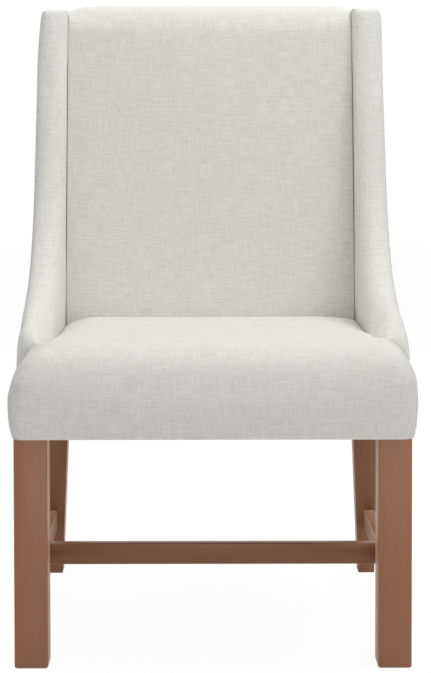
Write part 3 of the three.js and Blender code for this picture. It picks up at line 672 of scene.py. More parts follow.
def soften(piece, held, levels=1):
    """One subdivision, with the edges of the hidden sides kept sharp."""
    layer = piece.data.attributes.new("crease_edge", "FLOAT", "EDGE")
    ends = np.zeros(len(piece.data.edges) * 2, int)
    piece.data.edges.foreach_get("vertices", ends)
    both = held[ends.reshape(-1, 2)].all(axis=1)
    layer.data.foreach_set("value", both.astype(np.float32))
    finer = piece.modifiers.new("finer", "SUBSURF")
    finer.levels = levels
    finer.render_levels = levels
    apply_modifiers(piece)
    shade_smooth(piece, 62.0)


# %% [markdown]
# ## The seat
#
# The seat is one cover over foam. Its front and its ears roll over at a radius of about five centimetres,
# the sides swell out beyond the legs, and it tucks in again at the bottom, where the cloth turns under the
# rails. Behind the ears it narrows and slides between the wings. Near the ears the cloth of wing and seat
# runs together without a crease, and further back the seat's edge sags a little where the wing holds it.
# Handwork is never quite even: the left ear is fuller below and slimmer above than the right one.

# %% Seat sizes
seat_front = -8.0 * MM
seat_half = 307.4 * MM
seat_corner_half = 298.0 * MM
neck_half = wing_inner - gap
seat_back = seat_depth - gap
roll = 51.0 * MM
rear_roll = 22.0 * MM
seat_crown = 6.0 * MM
ear_lift = {"right": 6.5 * MM, "left": 1.0 * MM}
ear_crest = {side: seat_top + seat_crown + lift for side, lift in ear_lift.items()}
neck_edge = 4.0 * MM
neck_sag = {"right": 4.0 * MM, "left": 12.5 * MM}
room_half = frame_half + gap / 2
leg_outer = leg_high.x + gap / 2
room_front = 4.6 * MM
room_foot = rail_foot - gap / 2
turn_under = 18.0 * MM
ear_heights = np.array([343, 347, 359, 371, 384, 396, 408, 420, 432, 444, 453, 462, 468, 471]) * MM
ear_right = np.array([-4.0, -2.0, -0.2, 0.3, 1.5, 1.6, 1.0, 0, 0, -1, -0.6, 0, 0, 0]) * MM
ear_left = np.array([-5.0, -3.0, -0.6, 0.4, 0.9, 1.2, 0, -4.2, -6.8, -7.2, -7, -6.5, -6, -6]) * MM
tuck_heights = np.array([343, 352, 364, 378, 395, 471]) * MM
tuck_depths = np.array([7.5, 4.5, 2.0, 0.6, 0.0, 0.0]) * MM


# %% Which cells the seat fills
def seat_filled(x, depth, z):
    wide = np.abs(x)
    inside = (depth < ear_depth) | (wide < neck_half)
    rails = (wide < room_half) & (depth > room_front) & (z > room_foot) & (z < deck_top)
    mouth = (wide < room_half - turn_under) & (depth > room_front + turn_under) & (z < deck_top)
    leg = (wide > leg_low.x - gap / 2) & (wide < leg_outer) & (depth > -gap / 2) & (depth < leg_rear) & (z < deck_top)
    return inside & ~rails & ~mouth & ~(leg & (z < cover_foot + 3 * MM))


# %% Bending the seat's skin
def crown_of(x, depth):
    """Height of the padded top above its flat edge: level across, and fuller still over the ears."""
    crown = seat_crown * (1 - np.abs(x / seat_half) ** 8)
    crown = crown + np.where(x > 0, ear_lift["right"], ear_lift["left"]) * rise(np.abs(x), 0.12, 0.25) * (
        1 - rise(depth, 0.13, 0.30)
    )
    return crown * rise(depth, -0.004, 0.10)


def seat_form(places):
    x, depth, z = places.T.copy()
    wide = np.abs(x)
    side = seat_half - wide
    front = depth - seat_front
    top = seat_top - z
    ear_side, ear_front, ear_top = round_corner(side, front, top, roll, 2.8 + 7.0 * rise(top, 0.015, 0.110))
    neck_side = neck_half - wide
    sag = np.where(x > 0, neck_sag["right"], neck_sag["left"]) * rise(depth, 0.120, 0.360)
    sag = sag * np.clip(1 - neck_side / 0.045, 0, 1) ** 2
    neck_side, neck_top = round_over(neck_side, top, neck_edge)
    neck_rear, neck_top = round_over(seat_back - depth, neck_top, rear_roll)
    ear = depth < ear_depth + 1e-6
    new_side = np.where(ear, ear_side, neck_side)
    new_wide = np.where(ear, (seat_half - new_side), neck_half - new_side)
    height = seat_top - ear_top
    swell = np.where(x > 0, np.interp(height, ear_heights, ear_right), np.interp(height, ear_heights, ear_left))
    corner = (seat_corner_half - seat_half) * (1 - rise(depth, -0.008, 0.040)) * (1 - rise(height, 0.41, 0.45))
    swell = np.minimum(swell, swell * rise(depth, -0.008, 0.030) + corner)
    new_wide = np.where(ear, new_wide + swell * rise(new_wide, 0.20, 0.285), new_wide)
    new_depth = np.where(ear, seat_front + ear_front, seat_back - neck_rear)
    near_front = 1 - rise(new_depth, 0.0, 0.030)
    bulge = 4 * MM * (1 - (x / seat_half) ** 2) * np.sin(np.pi * np.clip((z - cover_foot) / 0.09, 0, 1))
    new_depth += (np.interp(z, tuck_heights, tuck_depths) - bulge) * near_front
    new_top = np.where(ear, ear_top, neck_top)
    new_z = seat_top - new_top + (crown_of(x, depth) - np.where(ear, 0.0, sag)) * np.clip(1 - top / roll, 0, 1)
    return np.stack([np.sign(x) * new_wide, at_depth(new_depth), new_z], axis=1)


def seat_room(places):
    """True for the points on the walls of the room that the frame takes up."""
    x, depth, z = places.T
    wide = np.abs(x)
    within = (wide < room_half + 1e-6) & (depth > room_front - 1e-6) & (z < deck_top + 1e-6)
    turned_under = (wide > room_half - turn_under + 1e-6) | (depth < room_front + turn_under - 1e-6)
    return within & ~((z < cover_foot + 1e-6) & turned_under)


# %% The seat's mesh
grid = 8 * MM
x_half = chain(
    0.0, leg_low.x - gap / 2, neck_half, room_half - turn_under, room_half, leg_outer, seat_half, size=grid
)
seat_x = [-value for value in x_half[:0:-1]] + x_half
seat_y = chain(
    seat_front, -gap / 2, room_front, room_front + turn_under, leg_rear, ear_depth, seat_back, size=grid
)
seat_z = chain(cover_foot, cover_foot + 3 * MM, room_foot, deck_top, seat_top, size=grid)
seat_data, seat_places, seat_looks = cell_skin("seat_upholstery", seat_x, seat_y, seat_z, seat_filled)
seat_hidden = seat_room(seat_places)
seat_bent = seat_form(seat_places)
straight = seat_places.copy()
straight[:, 1] = at_depth(straight[:, 1])
move_points(seat_data, np.where(seat_hidden[:, None], straight, seat_bent))
seat_side = np.sign(seat_places[:, 0]) * (seat_half + seat_top - seat_places[:, 2])
lay_cloth(
    seat_data,
    seat_looks,
    (
        (seat_side, seat_places[:, 1]),
        (seat_places[:, 0], seat_front - seat_top + seat_places[:, 2]),
        (seat_places[:, 0], seat_places[:, 1]),
    ),
)
seat = new_piece("seat_upholstery", seat_data, linen)
print("seat", len(seat.data.polygons), "squares")

# %% Swelling the seat
behind_ear = seat_places[:, 1] > ear_depth - 1e-6
neck_wall = behind_ear & (np.abs(seat_places[:, 0]) > neck_half - 1e-6)
seat_pinned = seat_hidden | neck_wall | (seat_places[:, 1] > seat_back - 1e-6)
seat_pinned |= seat_places[:, 2] < cover_foot + 1e-6
inflate(seat, 4.0, 3 * MM, seat_pinned)
soften(seat, seat_pinned & ~(seat_places[:, 2] > seat_top - 1e-6))
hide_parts("seat_cover", "seat_foam")

# %% [markdown]
# ## The inside back
#
# The inside back is a thin pad over webbing. It leans, swells a little towards the sitter, rolls over the
# top rail, and rounds off at both sides where it is pulled down beside the wings. In cells it is a slab
# with a thicker block along its top, and the slab's front and rear are then leaned to follow the posts.

# %% Inside back sizes
back_half = 252.2 * MM
back_crown = 9.0 * MM
back_top_crown = 10.0 * MM
back_side_roll = 4.5 * MM
back_top_roll = 34.0 * MM
back_rear_roll = 10.0 * MM
ledge = 985.0 * MM
rear_slope = (post_lean + post_top_depth - post_depth) / (post_top - rail_top)


def web_face(z):
    """Depth just in front of the webbing on the posts."""
    return 525.0 * MM + post_lean * (z - rail_top) / (post_top - rail_top)


def rear_face(z):
    """Depth of the plane behind the posts, where the outside back lies."""
    return post_face + post_depth + rear_slope * np.maximum(0.0, z - rail_top)


def back_face(z):
    """Depth of the inside back's flat, before it swells."""
    return seat_depth + back_lean * np.maximum(0.0, z - seat_top) / (wing_top - seat_top)


# %% The inside back's mesh
def back_form(places):
    x, layer, z = places.T.copy()
    wide = np.abs(x)
    front, web, rear = back_face(z), web_face(z), rear_face(z) - gap / 2
    depth = np.where(layer < 1, front + (web - front) * layer, web + (rear - web) * (layer - 1))
    inwards = depth - front
    side, inwards = round_over(back_half - wide, inwards, back_side_roll)
    top = wing_top - z
    inwards, top = round_over(inwards, top, back_top_roll)
    outwards, top = round_over(rear - front - inwards, top, back_rear_roll)
    inwards = np.where(layer > 1.5, rear - front - outwards, inwards)
    side, top = round_over(side, top, 2.5 * MM)
    level = np.clip((z - seat_top) / (wing_top - seat_top), 0, 1)
    across = 1 - (x / back_half) ** 2
    along_top = 1 - np.abs(x / back_half) ** np.where(x > 0, 40, 12)
    crown = back_crown * across * np.sin(np.pi * np.clip(0.34 + 0.6 * level, 0, 1)) * np.clip(1 - layer, 0, 1)
    new_z = wing_top - top + back_top_crown * along_top * np.clip(1 - (wing_top - z) / 0.05, 0, 1)
    return np.stack([np.sign(x) * (back_half - side), at_depth(front + inwards - crown), new_z], axis=1)


def back_filled(x, layer, z):
    return (layer < 1) | (z > ledge)


back_x_half = chain(0.0, back_half - 12 * MM, size=grid) + [back_half - d * MM for d in (7, 4, 2, 0.6, 0)]
back_x = [-value for value in back_x_half[:0:-1]] + back_x_half
back_layers = [0.0, 0.12, 0.3, 0.6, 1.0, 1.2, 1.4, 1.6, 1.8, 2.0]
back_z = chain(back_foot, ledge, wing_top - 8 * MM, size=grid) + [wing_top - 4 * MM, wing_top - 1.5 * MM, wing_top]
back_data, back_places, back_looks = cell_skin("inside_back", back_x, back_layers, back_z, back_filled)
back_hidden = (back_places[:, 1] > 1 - 1e-6) & (back_places[:, 2] < ledge + 1e-6)
move_points(back_data, back_form(back_places))
over_top = back_places[:, 2] + 0.06 * back_places[:, 1]
lay_cloth(
    back_data,
    back_looks,
    (
        (np.sign(back_places[:, 0]) * back_half + 0.06 * back_places[:, 1], back_places[:, 2]),
        (back_places[:, 0] + cloth_shift["back"], back_places[:, 2]),
        (back_places[:, 0] + cloth_shift["back"], over_top),
    ),
)
inside_back = new_piece("inside_back_pad", back_data, linen)
back_pinned = (back_places[:, 1] > 1 - 1e-6) | (back_places[:, 2] < seat_top - 0.02)
back_pinned |= np.abs(back_places[:, 0]) > back_half - 2 * MM
inflate(inside_back, 4.0, 3 * MM, back_pinned)
soften(inside_back, back_hidden)
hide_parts("inside_back_cover", "back_foam")
print("inside back", len(inside_back.data.polygons), "squares")

# %% [markdown]
# ## The wings
#
# A wing is a board with padding round its edge. Seen from the side its edge sweeps from a nearly level toe,
# beside the seat, up to the top of the back. The cells are laid along that sweep: one row for every few
# millimetres of it, each running straight in, square to the edge, as far as the bottom or the back. So the
# edge can be rounded evenly all the way. At the toe the padded edge slopes inwards to meet the seat.

# %% The sweep of the wing
sweep_shares = [
    (0, 0), (0.19, 0.044), (0.386, 0.101), (0.562, 0.186), (0.707, 0.33),
    (0.795, 0.482), (0.858, 0.636), (0.925, 0.805), (1, 1),
]
toe_depth = 118.3 * MM
toe_height = 484.0 * MM
sweep_run = 434.0 * MM
wing_foot = cover_foot


def sweep_line(count=600):
    """Points (depth, z) along the sweep, on a smooth curve through the shares."""
    marks = [np.array([toe_depth + sweep_run * a, toe_height + (wing_top - toe_height) * b]) for a, b in sweep_shares]
    marks = [marks[0]] + marks + [marks[-1]]
    line = []
    for index in range(1, len(marks) - 2):
        p0, p1, p2, p3 = marks[index - 1:index + 3]
        for t in np.linspace(0, 1, count // 8, endpoint=False):
            line.append(0.5 * (2 * p1 + (p2 - p0) * t + (2 * p0 - 5 * p1 + 4 * p2 - p3) * t ** 2
                               + (3 * p1 - p0 - 3 * p2 + p3) * t ** 3))
    line.append(marks[-1])
    return np.array(line)


sweep = sweep_line()
run = np.concatenate([[0], np.cumsum(np.linalg.norm(np.diff(sweep, axis=0), axis=1))])
sweep_length = run[-1]
ahead = np.gradient(sweep, run, axis=0)
inward = np.stack([ahead[:, 1], -ahead[:, 0]], axis=1)
toe_share = rise(run, 0.0, 0.045)[:, None]
top_share = rise(sweep_length - run, 0.0, 0.060)[:, None]
inward = inward * toe_share + np.array([0.0, -1.0]) * (1 - toe_share)
inward = inward * top_share + np.array([1.0, 0.0]) * (1 - top_share)
inward /= np.linalg.norm(inward, axis=1)[:, None]


def reach_to(point, direction):
    """Length of a straight line from the sweep to the bottom or the rear of the wing."""
    down = (point[1] - wing_foot) / max(1e-9, -direction[1])
    back = (rear_face(point[1]) - gap / 2 - point[0]) / max(1e-9, direction[0] - rear_slope * direction[1])
    return min(down, back)


reach = np.array([reach_to(p, d) for p, d in zip(sweep, inward)])
corner_run = run[int(np.argmax(reach))]
print("sweep", round(float(sweep_length), 3), "m, longest row", round(float(reach.max()), 3), "m")


def on_wing(along, deep):
    """(depth, z) of points: a distance along the sweep, and a distance in from it."""
    start = np.stack([np.interp(along, run, sweep[:, k]) for k in (0, 1)], axis=1)
    way = np.stack([np.interp(along, run, inward[:, k]) for k in (0, 1)], axis=1)
    way /= np.linalg.norm(way, axis=1)[:, None]
    return start + way * deep[:, None]


# %% Bending a wing's skin
wing_edge = 12.0 * MM
toe_round = 6.0 * MM
top_round = 10.0 * MM
top_corner = {"right": 15.0 * MM, "left": 11.0 * MM}
fold_run = 34.0 * MM
band_crown = 6.0 * MM
ear_middle = {"right": 253.5 * MM, "left": 247.5 * MM}
rim = 30.0 * MM
toe_bulge = {"right": 1.8 * MM, "left": -1.5 * MM}
top_droop = {"right": 0.0, "left": 5.5 * MM}
top_rise = {"right": 3.0 * MM, "left": 1.0 * MM}


def droop_at(side, z):
    """How far a wing's outer face leans in at a height near its top."""
    return top_droop[side] * np.clip((z - (wing_top - 0.100)) / 0.100, 0, 1) ** 1.5


def wing_form(places, side):
    """Places are (distance out from the inner face, distance along the sweep, distance in or share)."""
    out, along, deep = places.T.copy()
    width = wing_outer - wing_inner
    far = np.interp(along, run, reach)
    real = np.where(deep <= rim, deep, rim + (far - rim) * (deep - rim))
    level = np.interp(along, run, sweep[:, 1])
    inner_edge = (10.0 + 19.0 * (1 - rise(level, 0.58, 0.86))) * MM
    outer, real_a = round_over(width - out, real, wing_edge)
    inner, real_b = round_over(out, real_a, inner_edge)
    toe, real_c = round_over(along, real_b, toe_round)
    top, real_d = round_over(sweep_length - along, real_c, top_round)
    outer, top = round_over(outer, top, top_corner[side])
    inner, top = round_over(inner, top, 3 * MM)
    new_out = np.where(out > width / 2, width - outer, inner)
    new_along = np.where(along < sweep_length / 2, toe, sweep_length - top)
    near_edge = np.clip(1 - real_d / 0.060, 0, 1)
    flat = on_wing(new_along, real_d + band_crown * (2 * new_out / width - 1) ** 2 * near_edge ** 2)
    above = np.maximum(0.0, np.interp(new_along, run, sweep[:, 1]) - (ear_crest[side] + 0.5 * MM))
    slope = rise((width - new_out) / width, 0.22, 1.0)
    drop = above * slope * (1 - rise(flat[:, 0], 0.190, 0.300))
    over = np.clip(wing_inner + new_out - ear_middle[side], 0, roll)
    fold = ear_crest[side] - roll + np.sqrt(roll ** 2 - over ** 2)
    grown_up = np.sqrt(1 - (1 - np.clip(new_along / fold_run, 0, 1)) ** 2)
    crest = np.interp(new_along, run, sweep[:, 1]) - drop
    drop += np.maximum(0.0, crest - fold) * (1 - grown_up)
    depth, z = flat[:, 0], flat[:, 1] - drop * near_edge
    outside = rise(new_out, width * 0.5, width)
    bulge = toe_bulge[side] * (1 - rise(z, 0.500, 0.545)) * rise(z, 0.400, 0.440) * (1 - rise(depth, 0.19, 0.26))
    new_out = new_out + (bulge - droop_at(side, z)) * outside
    return new_out, depth, z + top_rise[side] * rise(z, 0.94, wing_top)


# %% A wing's mesh
wing_out = [value * MM for value in (0, 1.5, 4.5, 8.5, 14, 20, 26, 32, 37.4, 42.9, 46.9, 49.9, 51.4)]
wing_along = [value * MM for value in (0, 1, 3, 6, 11, 17, 25, 34)]
wing_along += chain(34 * MM, float(corner_run), float(sweep_length) - 12 * MM, size=7 * MM)[1:]
wing_along += [float(sweep_length) - value * MM for value in (8, 4.5, 1.5, 0)]
wing_deep = [value * MM for value in (0, 1.5, 4.5, 8.5, 13, 18, 24, 30)] + [rim + k / 14 for k in range(1, 15)]


def wing_mesh(side):
    """The right wing's mesh, or the left one as if it stood on the right, and its held points."""
    mesh, places, looks = cell_skin("wing_" + side, wing_out, wing_along, wing_deep, lambda out, along, deep: out > -1)
    out, depth, z = wing_form(places, side)
    move_points(mesh, np.stack([wing_inner + out, at_depth(depth), z], axis=1))
    shift = cloth_shift["wing"]
    lay_cloth(mesh, looks, ((depth + shift, z), (out + shift, z), (out + shift, places[:, 1])))
    face_outwards(mesh)
    buried = (places[:, 2] > rim) | (depth > 0.52) & (z < 0.9)
    shows_inside = (places[:, 0] < 1e-6) & (z > seat_top + 0.01) & (depth < 0.50)
    return mesh, buried & ~shows_inside | (places[:, 1] < 1e-6)


def face_outwards(mesh):
    with reshaping(mesh) as made:
        bmesh.ops.recalc_face_normals(made, faces=made.faces)


def mirror(mesh):
    """Moves the mesh to the other side, still facing outwards."""
    with reshaping(mesh) as made:
        for point in made.verts:
            point.co.x = -point.co.x
        bmesh.ops.reverse_faces(made, faces=made.faces)


# %% [markdown]
# ## Cutting room for the frame
#
# Board, post and rail run through the wing. Each makes its own room: a copy of the CAD part, merged and
# grown by a fraction of a millimetre, is taken away from the swollen wing with Boolean. A block takes away
# what would lie below the seat's deck, and another makes room for the outside panel. Where two cuts meet, a
# crumb of padding can come loose, and is dropped.

# %% Cutting tools
def grown(node, by):
    """A copy of a CAD part, a little larger all round."""
    made = merged(node)
    made.normal_update()
    shifts = []
    for point in made.verts:
        shift = Vector()
        normals = []
        for face in point.link_faces:
            if all(face.normal.dot(other) < 0.95 for other in normals):
                normals.append(face.normal.copy())
        for normal in normals:
            shift += normal * by
        shifts.append(shift)
    for point, shift in zip(made.verts, shifts):
        point.co += shift
    return as_mesh(made, "room")


def prism(outline, x_low, x_high):
    """A closed mesh: an outline of (depth, z) points, run from one x to another."""
    made = bmesh.new()
    near = [made.verts.new((x_low, at_depth(float(d)), float(z))) for d, z in outline]
    far = [made.verts.new((x_high, at_depth(float(d)), float(z))) for d, z in outline]
    made.faces.new(near)
    made.faces.new(far[::-1])
    count = len(outline)
    for index in range(count):
        after = (index + 1) % count
        made.faces.new((near[after], near[index], far[index], far[after]))
    bmesh.ops.recalc_face_normals(made, faces=made.faces)
    return as_mesh(made, "cutter")


def block(x_low, x_high, d_low, d_high, z_low, z_high):
    return prism([(d_low, z_low), (d_high, z_low), (d_high, z_high), (d_low, z_high)], x_low, x_high)


def carve(piece, *cutters):
    for mesh in cutters:
        tool = bpy.data.objects.new("cutter", mesh)
        bpy.context.scene.collection.objects.link(tool)
        cut = piece.modifiers.new("cut", "BOOLEAN")
        cut.operation = "DIFFERENCE"
        cut.solver = "EXACT"
        cut.object = tool
        bpy.context.view_layer.update()
        apply_modifiers(piece)
        bpy.data.objects.remove(tool)
        bpy.data.meshes.remove(mesh)


def drop_offcuts(piece):
    """Where two cuts meet, a crumb of padding can come loose: only the largest shell stays."""
    with reshaping(piece.data) as made:
        waiting = set(made.faces)
        shells = []
        while waiting:
            open_faces, shell = [waiting.pop()], []
            while open_faces:
                face = open_faces.pop()
                shell.append(face)
                for other in (other for edge in face.edges for other in edge.link_faces):
                    if other in waiting:
                        waiting.remove(other)
                        open_faces.append(other)
            shells.append(shell)
        shells.sort(key=len)
        crumbs = [face for shell in shells[:-1] for face in shell]
        bmesh.ops.delete(made, geom=crumbs, context="FACES")
    print(piece.name, "loses", len(shells) - 1, "loose crumbs of", len(crumbs), "faces")


# %% The outside panel's outline, and both wings
panel_inset = 24.0 * MM


def inset_outline(inset):
    """Outline (depth, z) of the wing's side, drawn in by an inset from the toe, the sweep and the top."""
    along = np.linspace(0.0, float(sweep_length), 60)
    line = on_wing(along, np.full(60, inset))
    keep = (line[:, 0] > toe_depth + inset) & (line[:, 1] < wing_top - inset)
    line = line[keep]
    first = np.array([toe_depth + inset, np.interp(toe_depth + inset, line[:, 0], line[:, 1])])
    last_z = wing_top - inset
    last = np.array([np.interp(last_z, line[:, 1], line[:, 0]), last_z])
    return [first, *line, last]


def panel_outline(inset, foot, rear_gap):
    line = inset_outline(inset)
    top = line[-1][1]
    return [
        (line[0][0], foot), *[tuple(point) for point in line],
        (rear_face(top) - rear_gap, top), (rear_face(rail_top) - rear_gap, rail_top), (rear_face(0.0) - rear_gap, foot),
    ]


for side, sign in (("right", 1), ("left", -1)):
    mesh, wing_pinned = wing_mesh(side)
    if sign < 0:
        mirror(mesh)
    wing = new_piece("wing_upholstery_" + side, mesh, linen)
    inflate(wing, 3.0, 2 * MM, wing_pinned)
    soften(wing, np.zeros(len(wing_pinned), bool))
    x_ends = sorted((sign * 0.20, sign * (frame_half + 0.2 * MM)))
    pad_ends = sorted((sign * (frame_half + 0.1 * MM), sign * 0.40))
    carve(
        wing,
        grown("wing_board_" + side, wood_room),
        grown("rear_post_" + side, wood_room),
        block(*x_ends, 0.0, 0.9, 0.2, deck_top + 0.3 * MM),
        prism(panel_outline(panel_inset - 0.4 * MM, wing_foot - 0.05, -0.05), *pad_ends),
    )
    drop_offcuts(wing)
    shade_smooth(wing, 40.0)
    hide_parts("wing_cover_" + side, "wing_foam_" + side)
    print(wing.name, len(wing.data.polygons), "faces")

# %% [markdown]
# ## Outside panels
#
# The outside of each wing and the outside of the back are flat panels of the same linen over a thin
# batting, sewn on by hand last. Each is a closed pad, a centimetre or so thick. Its rim is drawn in first,
# on the clean outline, and the grid is cut afterwards, because a rim drawn in through a grid folds over
# itself. A formula rounds the rim down to the seam, and Cloth then swells the middle a little more. Near
# its top the left panel thins, because the left wing leans in there and the panel has to stay level with it.

# %% A flat pad from an outline
def flat_pad(name, outline, thickness, swell, edge, lift):
    """A pad lying on a plane. Outline is (u, v) points, lift turns (u, v, height) into a place."""
    outline = np.array(outline)
    low, high = outline.min(axis=0), outline.max(axis=0)
    made = bmesh.new()
    made.faces.new([made.verts.new((u, v, 0.0)) for u, v in outline])
    for width in (edge, edge * 0.55, edge * 0.3):
        bmesh.ops.inset_region(
            made, faces=made.faces[:], thickness=width * 0.45, use_boundary=True, use_even_offset=True
        )
    for axis in (0, 1):
        for place in steps(low[axis], high[axis], panel_grid)[1:-1]:
            point = [0.0, 0.0, 0.0]
            point[axis] = place
            normal = [0.0, 0.0, 0.0]
            normal[axis] = 1.0
            bmesh.ops.bisect_plane(
                made, geom=made.verts[:] + made.edges[:] + made.faces[:], plane_co=point, plane_no=normal, dist=1e-6
            )
    bmesh.ops.remove_doubles(made, verts=made.verts, dist=0.05 * MM)
    made.verts.ensure_lookup_table()
    flat = np.array([point.co[:2] for point in made.verts])
    away = distance_to_outline(flat, outline)
    height = thickness * np.sqrt(np.clip(1 - (1 - np.clip(away / edge, 0, 1)) ** 2, 0, 1))
    height += swell * rise(away, 0.0, 0.08)
    base = made.verts[:]
    bottom = bmesh.ops.duplicate(made, geom=made.verts[:] + made.edges[:] + made.faces[:])
    low_faces = [item for item in bottom["geom"] if isinstance(item, bmesh.types.BMFace)]
    bmesh.ops.reverse_faces(made, faces=low_faces)
    for point, up in zip(base, height):
        point.co.z = max(float(up), 0.15 * MM)
    rims = [edge for edge in made.edges if edge.is_boundary]
    bmesh.ops.bridge_loops(made, edges=rims)
    bmesh.ops.recalc_face_normals(made, faces=made.faces)
    uv = made.loops.layers.uv.new("UVMap")
    for face in made.faces:
        for loop in face.loops:
            loop[uv].uv = (loop.vert.co.x + cloth_shift["panel"], loop.vert.co.y)
    mesh = as_mesh(made, name)
    move_points(mesh, lift(*points_of(mesh).T))
    return mesh


def distance_to_outline(points, outline):
    """Shortest distance of each point from a closed outline."""
    best = np.full(len(points), 1e9)
    for start, end in zip(outline, np.roll(outline, -1, axis=0)):
        line = end - start
        share = np.clip(((points - start) @ line) / max(line @ line, 1e-18), 0, 1)
        best = np.minimum(best, np.linalg.norm(points - start - share[:, None] * line, axis=1))
    return best


# %% The outside panels of the wings
panel_held = 10.0 * MM  # a point nearer to the board than this is on the seam, and stays
panel_thick = 10.6 * MM
side_outline = panel_outline(panel_inset + 0.2 * MM, wing_foot + 0.2 * MM, 1.0 * MM)
for side, sign in (("right", 1), ("left", -1)):
    def lift(u, v, height, side=side, sign=sign):
        height = height * (1 - droop_at(side, v) / panel_thick)
        return np.stack([sign * (frame_half + panel_stand + height), at_depth(u), v], axis=1)

    panel_mesh = flat_pad("outside_panel", side_outline, panel_thick, 1.8 * MM, 6.0 * MM, lift)
    face_outwards(panel_mesh)
    panel = new_piece("outside_wing_panel_" + side, panel_mesh, linen)
    sewn = np.abs(points_of(panel.data)[:, 0]) < frame_half + panel_stand + panel_held
    inflate(panel, 3.0, 1.5 * MM, sewn)
    carve(panel, grown("rear_post_" + side, wood_room))
    shade_smooth(panel, 40.0)
    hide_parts("outside_pad_" + side)
    print(panel.name, len(panel.data.polygons), "faces")

# %% The outside back
back_panel_half = 303.4 * MM
back_panel_top = 1009.0 * MM
back_panel_foot = cover_foot + 0.3 * MM


def lift_back(x, z, height):
    return np.stack([x, at_depth(rear_face(z) + panel_stand + height), z], axis=1)


back_outline = [
    (-back_panel_half, back_panel_foot), (back_panel_half, back_panel_foot), (back_panel_half, rail_top),
    (back_panel_half, back_panel_top), (-back_panel_half, back_panel_top), (-back_panel_half, rail_top),
]
back_panel_mesh = flat_pad("outside_back", back_outline, 9.0 * MM, 2.2 * MM, 8.0 * MM, lift_back)
face_outwards(back_panel_mesh)
back_panel = new_piece("outside_back_panel", back_panel_mesh, linen)
back_points = points_of(back_panel.data)
stands_off = back_points[:, 1] - at_depth(rear_face(back_points[:, 2]) + panel_stand)
inflate(back_panel, 3.0, 1.5 * MM, stands_off < 8.5 * MM)
shade_smooth(back_panel, 40.0)
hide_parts("outside_back")
print(back_panel.name, len(back_panel.data.polygons), "faces")

# %% [markdown]
# ## The dust cloth
#
# Underneath, a sheet of black bonded cloth is stapled to the rails and cut round the legs. It sags a few
# millimetres between them. It is a real sheet here: a thin one, laid flat with its cut-outs.

# %% Dust cloth
dust_low, dust_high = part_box("dust_cloth")
sag = 3.0 * MM
full_from, full_to = 0.051, 0.506  # depths between which the cloth is full width, clear of the legs
dust_middle, dust_reach = 0.292, 0.262  # depth of its middle, and how far from there the rails hold it


def dust_mesh():
    x_lines = chain(dust_low.x, -leg_low.x + 1 * MM, leg_low.x - 1 * MM, dust_high.x, size=18 * MM)
    y_start, y_end = dust_low.y - leg_face, dust_high.y - leg_face
    y_lines = chain(y_start, full_from, full_to, y_end, size=18 * MM)
    z_lines = [dust_low.z, dust_high.z - 0.3 * MM]

    def filled(x, depth, z):
        wide = np.abs(x) > leg_low.x - 1 * MM
        return ~(wide & ((depth < full_from) | (depth > full_to)))

    mesh, places, looks = cell_skin("dust_cloth_sheet", x_lines, y_lines, z_lines, filled)
    x, depth, z = places.T
    middle = np.clip(1 - (x / dust_reach) ** 2, 0, 1)
    middle = middle * np.clip(1 - ((depth - dust_middle) / dust_reach) ** 2, 0, 1)
    move_points(mesh, np.stack([x, at_depth(depth), z - sag * middle], axis=1))
    lay_cloth(mesh, looks, ((depth, z), (x, z), (x, depth)))
    areas = np.zeros(len(mesh.polygons))
    mesh.polygons.foreach_get("area", areas)
    area = float(areas[looks == 2].sum() / 2)
    print("dust cloth area", round(area, 4), "m2 of", int((looks == 2).sum() / 2), "squares")
    return mesh, area


dust_data, dust_area = dust_mesh()
dust = new_piece("dust_cloth_sheet", dust_data, dust_cloth)
shade_smooth(dust, 50.0)
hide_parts("dust_cloth")

# %% [markdown]
# ## Hand stitches and staples
#
# The outside panels go on last, with a curved needle: a short stitch across the seam every nine
# millimetres. Underneath, the dust cloth is held by staples. Both are one small shape repeated along a
# line, which is what Geometry Nodes are for. A path is a chain of points that also carry the way each
# stitch should lie. The tree spaces the shapes along it, turns each one with a little unevenness from a
# fixed seed, and makes them real. The result is kept as a plain mesh.

